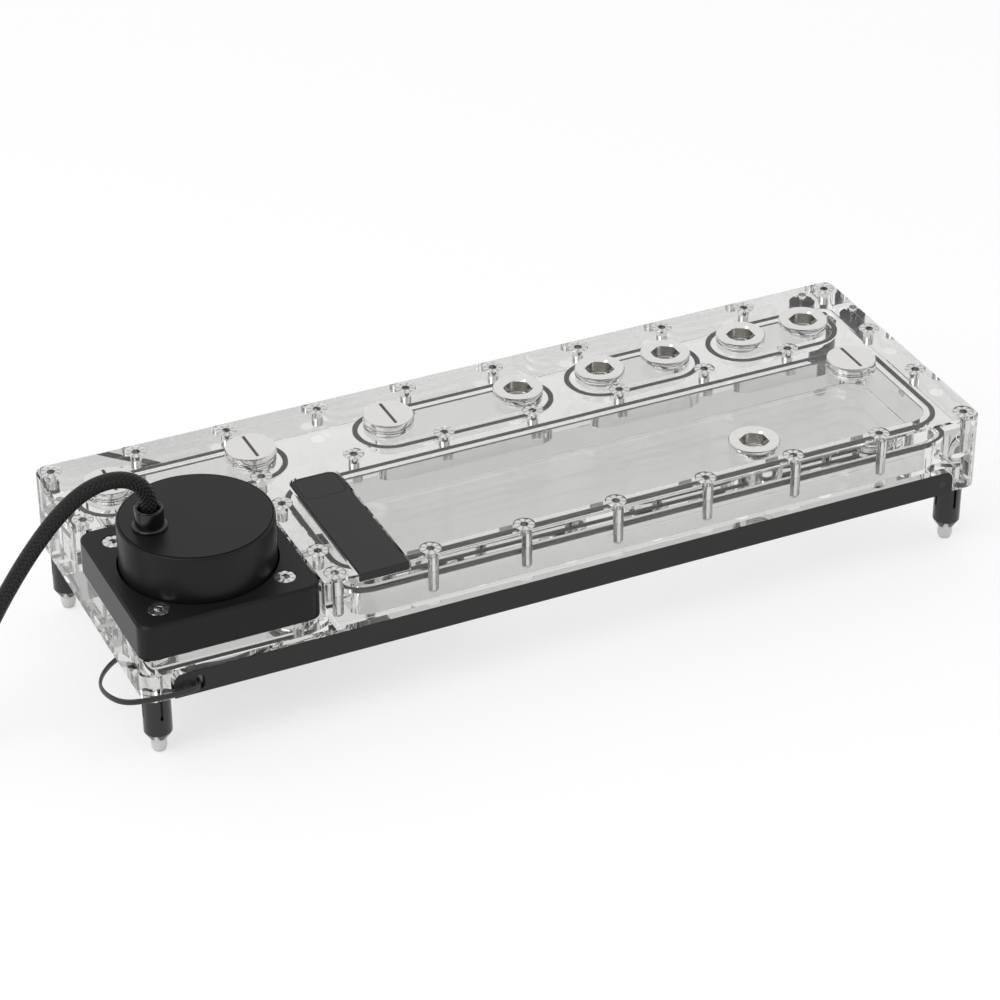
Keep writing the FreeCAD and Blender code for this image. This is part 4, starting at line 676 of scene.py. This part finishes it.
def adapter(node, name, x, y):
    profile = [
        (6.5, -10), (6.5, -6.2), (6.1, -5.9), (6.1, -5.0), (6.5, -4.7), (6.5, -4.1), (6.5, -2.5),
        (8.7, -2.5), (9.0, -2.3), (9.0, 0.05), (8.85, 0.38), (8.5, 0.5), (5.6, 0.5), (5.3, 0.2),
        (5.0, -0.1), (5.0, -4.3), (4.4, -4.5)]
    level = -4.5
    while level > -9.3:
        profile += [(4.4, level - 0.2), (4.75, level - 0.5), (4.75, level - 0.6), (4.4, level - 0.9)]
        level -= 1
    profile.append((4.4, -10))
    mesh = bmesh.new()
    for vertex in turned(mesh, profile, 72, closed=True):
        radius = math.hypot(vertex.co.x, vertex.co.y)
        if 4.9 < radius < 5.45 and vertex.co.z > -4.4:
            angle = (math.degrees(math.atan2(vertex.co.y, vertex.co.x)) + 30) % 60 - 30
            reach = min(4.72 / math.cos(math.radians(angle)), 5.04) + (radius - 5.0)
            vertex.co.x *= reach / radius
            vertex.co.y *= reach / radius
    bmesh.ops.translate(mesh, vec=(x, y, 55), verts=mesh.verts)
    bmesh.ops.scale(mesh, vec=(MM, MM, MM), verts=mesh.verts)
    # Faces inside the bore get the bore's painted shade.
    for face in mesh.faces:
        middle = face.calc_center_median() / MM
        if math.hypot(middle.x - x, middle.y - y) < 5.3 and middle.z < 54.95:
            face.material_index = 1
    piece = finish_mesh(name, mesh, bright_nickel)
    piece.data.materials.append(bore_shade_material)
    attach(piece, "block")
    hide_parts(node)


adapter_places = ((17, 32.5), (50, 32.5), (77, 32.5), (108.5, 32.5), (135, 32.5), (77, -35.5))
for step, (x, y) in enumerate(adapter_places, 1):
    adapter(f"port_adapter_{step}", f"adapter_turning_{step}", x, y)

# Stop plugs
# Four turned plugs close ports that aren't used. Each has a coin slot, a fluted rim and a spool
# shaped neck, and turns out on its own thread.
# The slot's walls are given a dull grey, darker than the nickel round it, as painted shade in the deep
# narrow slot.
slot_nickel = new_material("stop_plug_slot_painted_shade")
slot_place = add_node(slot_nickel, "ShaderNodeTexCoord")
saw_marks = add_node(
    slot_nickel, "ShaderNodeTexNoise", {"Scale": 1 / (0.65 * MM), "Detail": 2.0},
    {"Vector": slot_place.outputs["Object"]})
slot_tone = add_node(slot_nickel, "ShaderNodeValToRGB", None, {"Fac": saw_marks.outputs["Fac"]})
slot_tone.color_ramp.elements[0].color = linear("8E8C87")
slot_tone.color_ramp.elements[1].color = linear("A19E98")
slot_nickel_shader = add_node(
    slot_nickel, "ShaderNodeBsdfPrincipled", {"Roughness": 0.6, "IOR": 1.5},
    {"Base Color": slot_tone.outputs["Color"]})
add_node(slot_nickel, "ShaderNodeOutputMaterial", None, {"Surface": slot_nickel_shader.outputs["BSDF"]})


def stop_plug(node, name, x, y):
    mesh = bmesh.new()
    profile = [
        (0, -10), (6.2, -10), (6.5, -9.7), (6.5, -6.2), (6.1, -5.9), (6.1, -5.0), (6.5, -4.7), (6.5, -2.5),
        (8.7, -2.5), (9.0, -2.2), (9.0, -0.9), (8.6, -0.6), (8.6, -0.2), (8.9, 0.0), (9.0, 0.15),
        (9.0, 1.9), (8.85, 2.2), (8.5, 2.4), (0, 2.4)]
    made = turned(mesh, profile, 192)
    for vertex in made:
        radius = math.hypot(vertex.co.x, vertex.co.y)
        if radius > 8.95 and 0.1 < vertex.co.z < 2:
            angle = math.atan2(vertex.co.y, vertex.co.x)
            reach = 1 - 0.012 * (round(angle / math.tau * 192) % 2)
            vertex.co.x *= reach
            vertex.co.y *= reach
    for normal, offset in (((1, 0, 0), 0.6), ((-1, 0, 0), 0.6), ((0, 1, 0), 7.3), ((0, -1, 0), 7.3)):
        top = [face for face in mesh.faces if face.calc_center_median().z > 2.39]
        geometry = top + list({edge for face in top for edge in face.edges})
        geometry += list({vertex for face in top for vertex in face.verts})
        bmesh.ops.bisect_plane(
            mesh, geom=geometry, dist=0.00001, plane_co=[part * offset for part in normal], plane_no=normal)
    slot = []
    for face in mesh.faces:
        centre = face.calc_center_median()
        if centre.z > 2.39 and abs(centre.x) < 0.6 and abs(centre.y) < 7.3:
            slot.append(face)
    sunk = bmesh.ops.extrude_face_region(mesh, geom=slot)["geom"]
    bmesh.ops.translate(
        mesh, vec=(0, 0, -1.6), verts=[part for part in sunk if isinstance(part, bmesh.types.BMVert)])
    bmesh.ops.delete(mesh, geom=[face for face in slot if face.is_valid], context="FACES_ONLY")
    bmesh.ops.translate(mesh, vec=(x, y, 55), verts=mesh.verts)
    bmesh.ops.scale(mesh, vec=(MM, MM, MM), verts=mesh.verts)
    # The slot's faces get the slot's painted shade.
    for face in mesh.faces:
        middle = face.calc_center_median() / MM
        aside = middle.x - x
        if abs(aside) < 0.61 and abs(middle.y - y) < 7.35 and 55.7 < middle.z < 57.35:
            face.material_index = 1
    piece = finish_mesh(name, mesh, bright_nickel, smooth=25)
    piece.data.materials.append(slot_nickel)
    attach(piece, node)
    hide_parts(node)


for node, x, y in (("stop_plug_left", -138.5, 32.5), ("stop_plug_pump", -86.5, 32.5),
                   ("stop_plug_middle", -34.0, 32.5), ("fill_plug", 135.0, -3.0)):
    stop_plug(node, node + "_turning", x, y)

# Badge plate
# A black acetal plate let into the lid's front edge, with a thin blank tile of the same material
# set into it.
# Sanded black acetal: charcoal with a soft sheen, its grain drawn 0.55 mm coarse so that it shows.
black_acetal = new_material("satin_black_acetal")
acetal_place = add_node(black_acetal, "ShaderNodeTexCoord")
acetal_grain = add_node(
    black_acetal, "ShaderNodeTexNoise", {"Scale": 1 / (0.55 * MM), "Detail": 3.0},
    {"Vector": acetal_place.outputs["Object"]})
acetal_tone = add_node(black_acetal, "ShaderNodeValToRGB", None, {"Fac": acetal_grain.outputs["Fac"]})
acetal_tone.color_ramp.elements[0].color = linear("242423")
acetal_tone.color_ramp.elements[1].color = linear("2B2B2A")
black_acetal_shader = add_node(
    black_acetal, "ShaderNodeBsdfPrincipled", {"Roughness": 0.5, "IOR": 1.48, "Specular IOR Level": 0.35},
    {"Base Color": acetal_tone.outputs["Color"]})
add_node(
    black_acetal, "ShaderNodeOutputMaterial", None, {"Surface": black_acetal_shader.outputs["BSDF"]})
dress_solid("badge_plate", black_acetal)
dress_solid("badge_tile", black_acetal)

# Clamp plate
# A square of black acetal, milled with a chamfered rim and a round opening, presses the pump's flange
# into its seat. Four of the same stainless screws hold it.
# Milled acetal: black and a little glossier than the badge plate, from the cutter's smooth finish.
clamp_acetal = new_material("milled_black_acetal")
milled_place = add_node(clamp_acetal, "ShaderNodeTexCoord")
milled_grain = add_node(
    clamp_acetal, "ShaderNodeTexNoise", {"Scale": 1 / (0.55 * MM), "Detail": 3.0},
    {"Vector": milled_place.outputs["Object"]})
milled_tone = add_node(clamp_acetal, "ShaderNodeValToRGB", None, {"Fac": milled_grain.outputs["Fac"]})
milled_tone.color_ramp.elements[0].color = linear("171717")
milled_tone.color_ramp.elements[1].color = linear("1F1F1F")
clamp_acetal_shader = add_node(
    clamp_acetal, "ShaderNodeBsdfPrincipled", {"Roughness": 0.36, "IOR": 1.48, "Specular IOR Level": 0.2},
    {"Base Color": milled_tone.outputs["Color"]})
add_node(
    clamp_acetal, "ShaderNodeOutputMaterial", None, {"Surface": clamp_acetal_shader.outputs["BSDF"]})
dress_solid("pump_clamp_plate", clamp_acetal)

clamp_screws = bmesh.new()
for step, (x, y) in enumerate(((-149.2, -45.2), (-149.2, -0.8), (-104.8, -45.2), (-104.8, -0.8))):
    made = socket_screw(clamp_screws, 2.0, 17, 9)
    bmesh.ops.rotate(clamp_screws, cent=(0, 0, 0), matrix=Matrix.Rotation(0.4 + step, 3, "Z"), verts=made)
    bmesh.ops.translate(clamp_screws, vec=(x, y, 55), verts=made)
bmesh.ops.scale(clamp_screws, vec=(MM, MM, MM), verts=clamp_screws.verts)
clamp_fixings = finish_mesh("clamp_fixings", clamp_screws, polished_stainless, smooth=14)
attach(clamp_fixings, "block")
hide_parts("clamp_screws")

# Pump can
# A moulded nylon cover over the motor, with a fine groove inside the rounded rim of its flat top. Its
# flange is held under the clamp plate.
# Moulded nylon with a satin mould: black, with a soft broad highlight.
satin_nylon = new_material("satin_black_pump_nylon")
can_place = add_node(satin_nylon, "ShaderNodeTexCoord")
can_grain = add_node(
    satin_nylon, "ShaderNodeTexNoise", {"Scale": 1 / (0.45 * MM), "Detail": 2.0},
    {"Vector": can_place.outputs["Object"]})
can_tone = add_node(satin_nylon, "ShaderNodeValToRGB", None, {"Fac": can_grain.outputs["Fac"]})
can_tone.color_ramp.elements[0].color = linear("111111")
can_tone.color_ramp.elements[1].color = linear("181817")
satin_nylon_shader = add_node(
    satin_nylon, "ShaderNodeBsdfPrincipled", {"Roughness": 0.36, "IOR": 1.53, "Specular IOR Level": 0.22},
    {"Base Color": can_tone.outputs["Color"]})
add_node(satin_nylon, "ShaderNodeOutputMaterial", None, {"Surface": satin_nylon_shader.outputs["BSDF"]})

can = bmesh.new()
turned(can, [
    (24.9, 0), (28.5, 0), (28.5, 3.0), (26.5, 3.0), (26.5, 29.3), (26.35, 29.75), (26.0, 30.05),
    (25.75, 30.1), (25.6, 29.85), (25.45, 29.85), (25.35, 30.2), (25.2, 30.3), (0, 30.3), (0, 28.3),
    (24.9, 28.3)], 128, closed=True)
bmesh.ops.translate(can, vec=(-127, -23, 42), verts=can.verts)
bmesh.ops.scale(can, vec=(MM, MM, MM), verts=can.verts)
can_cover = finish_mesh("can_moulding", can, satin_nylon, smooth=30)
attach(can_cover, "block")
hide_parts("pump_can")

# Cable gland
# A moulded nylon collar, pressed into the can's top, holds the cable's sleeve and keeps it from
# chafing at the edge.
# Glossy nylon from a polished mould: deep black with sharp highlights.
gloss_nylon = new_material("glossy_black_gland_nylon")
gloss_place = add_node(gloss_nylon, "ShaderNodeTexCoord")
gloss_grain = add_node(
    gloss_nylon, "ShaderNodeTexNoise", {"Scale": 1 / (0.7 * MM), "Detail": 2.0},
    {"Vector": gloss_place.outputs["Object"]})
gloss_tone = add_node(gloss_nylon, "ShaderNodeValToRGB", None, {"Fac": gloss_grain.outputs["Fac"]})
gloss_tone.color_ramp.elements[0].color = linear("0D0D0D")
gloss_tone.color_ramp.elements[1].color = linear("151515")
gloss_nylon_shader = add_node(
    gloss_nylon, "ShaderNodeBsdfPrincipled", {"Roughness": 0.2, "IOR": 1.53},
    {"Base Color": gloss_tone.outputs["Color"]})
add_node(gloss_nylon, "ShaderNodeOutputMaterial", None, {"Surface": gloss_nylon_shader.outputs["BSDF"]})
gland = bmesh.new()
turned(gland, [
    (3.0, -1.5), (3.3, 0), (5.85, 0), (6.0, 0.15), (6.0, 0.6), (5.85, 0.9), (5.55, 1.1), (4.95, 1.2),
    (4.95, 6.9), (4.9, 7.3), (4.65, 7.6), (4.2, 7.6), (3.9, 7.3), (3.3, 6.4), (3.0, 5.5)], 64, closed=True)
bmesh.ops.translate(gland, vec=(-143, -23, 72.3), verts=gland.verts)
bmesh.ops.scale(gland, vec=(MM, MM, MM), verts=gland.verts)
gland_collar = finish_mesh("gland_collar", gland, gloss_nylon, smooth=40)
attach(gland_collar, "block")
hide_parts("cable_gland")

# Inside the pump
# A moulded wet housing with a thin cup holds the impeller and its magnet, which turn on a fixed steel
# shaft in the coolant. The stator and its board stand dry round and above the cup.
for node in ("pump_housing", "impeller"):
    dress_solid(node, moulded_nylon)
# Sintered ferrite: dark grey and dull, with a 1 mm mottle.
ferrite = new_material("sintered_ferrite")
ferrite_place = add_node(ferrite, "ShaderNodeTexCoord")
ferrite_noise = add_node(
    ferrite, "ShaderNodeTexNoise", {"Scale": 1 / MM, "Detail": 5.0},
    {"Vector": ferrite_place.outputs["Object"]})
ferrite_tone = add_node(ferrite, "ShaderNodeValToRGB", None, {"Fac": ferrite_noise.outputs["Fac"]})
ferrite_tone.color_ramp.elements[0].color = linear("2B2C2E")
ferrite_tone.color_ramp.elements[1].color = linear("3A3B3D")
ferrite_shader = add_node(
    ferrite, "ShaderNodeBsdfPrincipled", {"Roughness": 0.55, "IOR": 1.9},
    {"Base Color": ferrite_tone.outputs["Color"]})
add_node(ferrite, "ShaderNodeOutputMaterial", None, {"Surface": ferrite_shader.outputs["BSDF"]})
dress_solid("rotor_magnet", ferrite)
for node in ("rotor_bushing", "pump_shaft", "stator", "foot_studs"):
    dress_solid(node, polished_stainless)
# Solder mask on a glass-fibre board: deep green lacquer with a soft gloss.
solder_mask = new_material("green_solder_mask")
mask_place = add_node(solder_mask, "ShaderNodeTexCoord")
mask_noise = add_node(
    solder_mask, "ShaderNodeTexNoise", {"Scale": 1 / (1.7 * MM), "Detail": 2.0},
    {"Vector": mask_place.outputs["Object"]})
mask_tone = add_node(solder_mask, "ShaderNodeValToRGB", None, {"Fac": mask_noise.outputs["Fac"]})
mask_tone.color_ramp.elements[0].color = linear("124F2E")
mask_tone.color_ramp.elements[1].color = linear("1A6B3E")
solder_mask_shader = add_node(
    solder_mask, "ShaderNodeBsdfPrincipled", {"Roughness": 0.3, "IOR": 1.5},
    {"Base Color": mask_tone.outputs["Color"]})
add_node(solder_mask, "ShaderNodeOutputMaterial", None, {"Surface": solder_mask_shader.outputs["BSDF"]})
dress_solid("control_board", solder_mask)

# Light bar
# A sanded black acetal cover, let into the foot of the front face, hides a strip of sixteen light
# chips that shine into the block. Two small black screws hold it.
dress_solid("light_bar_cover", black_acetal)
dress_solid("light_bar_screws", moulded_nylon)
# White solder mask: nearly white lacquer with a soft gloss.
white_mask = new_material("white_solder_mask")
strip_place = add_node(white_mask, "ShaderNodeTexCoord")
strip_noise = add_node(
    white_mask, "ShaderNodeTexNoise", {"Scale": 1 / (2 * MM), "Detail": 2.0},
    {"Vector": strip_place.outputs["Object"]})
strip_tone = add_node(white_mask, "ShaderNodeValToRGB", None, {"Fac": strip_noise.outputs["Fac"]})
strip_tone.color_ramp.elements[0].color = linear("D8D8D4")
strip_tone.color_ramp.elements[1].color = linear("E6E6E2")
white_mask_shader = add_node(
    white_mask, "ShaderNodeBsdfPrincipled", {"Roughness": 0.4, "IOR": 1.5},
    {"Base Color": strip_tone.outputs["Color"]})
add_node(white_mask, "ShaderNodeOutputMaterial", None, {"Surface": white_mask_shader.outputs["BSDF"]})
dress_solid("led_strip", white_mask)
dress_solid("led_chips", white_mask)

# Feet
# Each foot is a slotted sleeve of glossy black nylon on a threaded steel stud, which screws into the
# block. A clear finned tip is pressed into the sleeve and stands on the floor.
dress_solid("foot_sleeves", gloss_nylon)
# Moulded polycarbonate: clear, and a little milky where the fins scatter the light.
clear_polycarbonate = new_material("moulded_clear_polycarbonate")
tip_place = add_node(clear_polycarbonate, "ShaderNodeTexCoord")
tip_noise = add_node(
    clear_polycarbonate, "ShaderNodeTexNoise", {"Scale": 1 / (2 * MM), "Detail": 2.0},
    {"Vector": tip_place.outputs["Object"]})
tip_tone = add_node(clear_polycarbonate, "ShaderNodeValToRGB", None, {"Fac": tip_noise.outputs["Fac"]})
tip_tone.color_ramp.elements[0].color = linear("EFEFED")
tip_tone.color_ramp.elements[1].color = linear("FAFAF8")
clear_polycarbonate_shader = add_node(
    clear_polycarbonate, "ShaderNodeBsdfPrincipled",
    {"Roughness": 0.12, "IOR": 1.45, "Transmission Weight": 0.35},
    {"Base Color": tip_tone.outputs["Color"]})
add_node(
    clear_polycarbonate, "ShaderNodeOutputMaterial", None,
    {"Surface": clear_polycarbonate_shader.outputs["BSDF"]})
dress_solid("foot_tips", clear_polycarbonate)

# Floor, world and lamps
# A plain white floor keeps the object's soft shadow. The camera sees a white sky, and one large soft
# lamp stands at the left.
floor_mesh = bmesh.new()
bmesh.ops.create_grid(floor_mesh, x_segments=1, y_segments=1, size=4)
floor_white = new_material("studio_floor")
floor_path = add_node(floor_white, "ShaderNodeLightPath")
seen = add_node(
    floor_white, "ShaderNodeMath", {"operation": "MAXIMUM"},
    {0: floor_path.outputs["Is Camera Ray"], 1: floor_path.outputs["Is Transmission Ray"]})
seen_or_mirrored = add_node(
    floor_white, "ShaderNodeMath", {"operation": "MAXIMUM"},
    {0: seen.outputs["Value"], 1: floor_path.outputs["Is Glossy Ray"]})
share = add_node(
    floor_white, "ShaderNodeMath", {"operation": "MULTIPLY", 1: 0.55},
    {0: seen_or_mirrored.outputs["Value"]})
matte = add_node(floor_white, "ShaderNodeBsdfDiffuse", {"Color": linear("F4F4F4")})
glow = add_node(floor_white, "ShaderNodeEmission", {"Color": linear("FFFFFF"), "Strength": 1.15})
blend = add_node(
    floor_white, "ShaderNodeMixShader", None,
    {0: share.outputs["Value"], 1: matte.outputs["BSDF"], 2: glow.outputs["Emission"]})
add_node(floor_white, "ShaderNodeOutputMaterial", None, {"Surface": blend.outputs["Shader"]})
floor = finish_mesh("floor", floor_mesh, floor_white)

world = bpy.data.worlds.new("studio")
world.use_nodes = True
world.node_tree.nodes.clear()
sky_path = add_node(world, "ShaderNodeLightPath")
# The room is bright overhead and behind the object, and darker towards its front, so that bright
# metal shows both.
sky_place = add_node(world, "ShaderNodeTexCoord")
to_front = add_node(
    world, "ShaderNodeVectorMath", {"operation": "DOT_PRODUCT", 1: (-0.38, -0.82, -0.2)},
    {0: sky_place.outputs["Generated"]})
sky_shade = add_node(world, "ShaderNodeValToRGB", None, {"Fac": to_front.outputs["Value"]})
sky_shade.color_ramp.elements[0].position = 0.2
sky_shade.color_ramp.elements[0].color = linear("FFFFFF")
sky_shade.color_ramp.elements[1].position = 0.8
sky_shade.color_ramp.elements[1].color = linear("5A5A5A")
room = add_node(
    world, "ShaderNodeBackground", {"Strength": 0.8}, {"Color": sky_shade.outputs["Color"]})
backdrop = add_node(world, "ShaderNodeBackground", {"Color": linear("FFFFFF"), "Strength": 1.0})
sky = add_node(
    world, "ShaderNodeMixShader", None,
    {0: sky_path.outputs["Is Camera Ray"], 1: room.outputs["Background"],
     2: backdrop.outputs["Background"]})
add_node(world, "ShaderNodeOutputWorld", None, {"Surface": sky.outputs["Shader"]})
bpy.context.scene.world = world

key_data = bpy.data.lights.new("key_lamp", "AREA")
key_data.shape = "RECTANGLE"
key_data.size = 1.2
key_data.size_y = 1.2
key_data.energy = 10
key = bpy.data.objects.new("key_lamp", key_data)
key.location = (-1.1, -0.5, 1.2)
key.rotation_euler = (Vector((0, 0, 0)) - key.location).to_track_quat("-Z", "Y").to_euler()
bpy.context.scene.collection.objects.link(key)
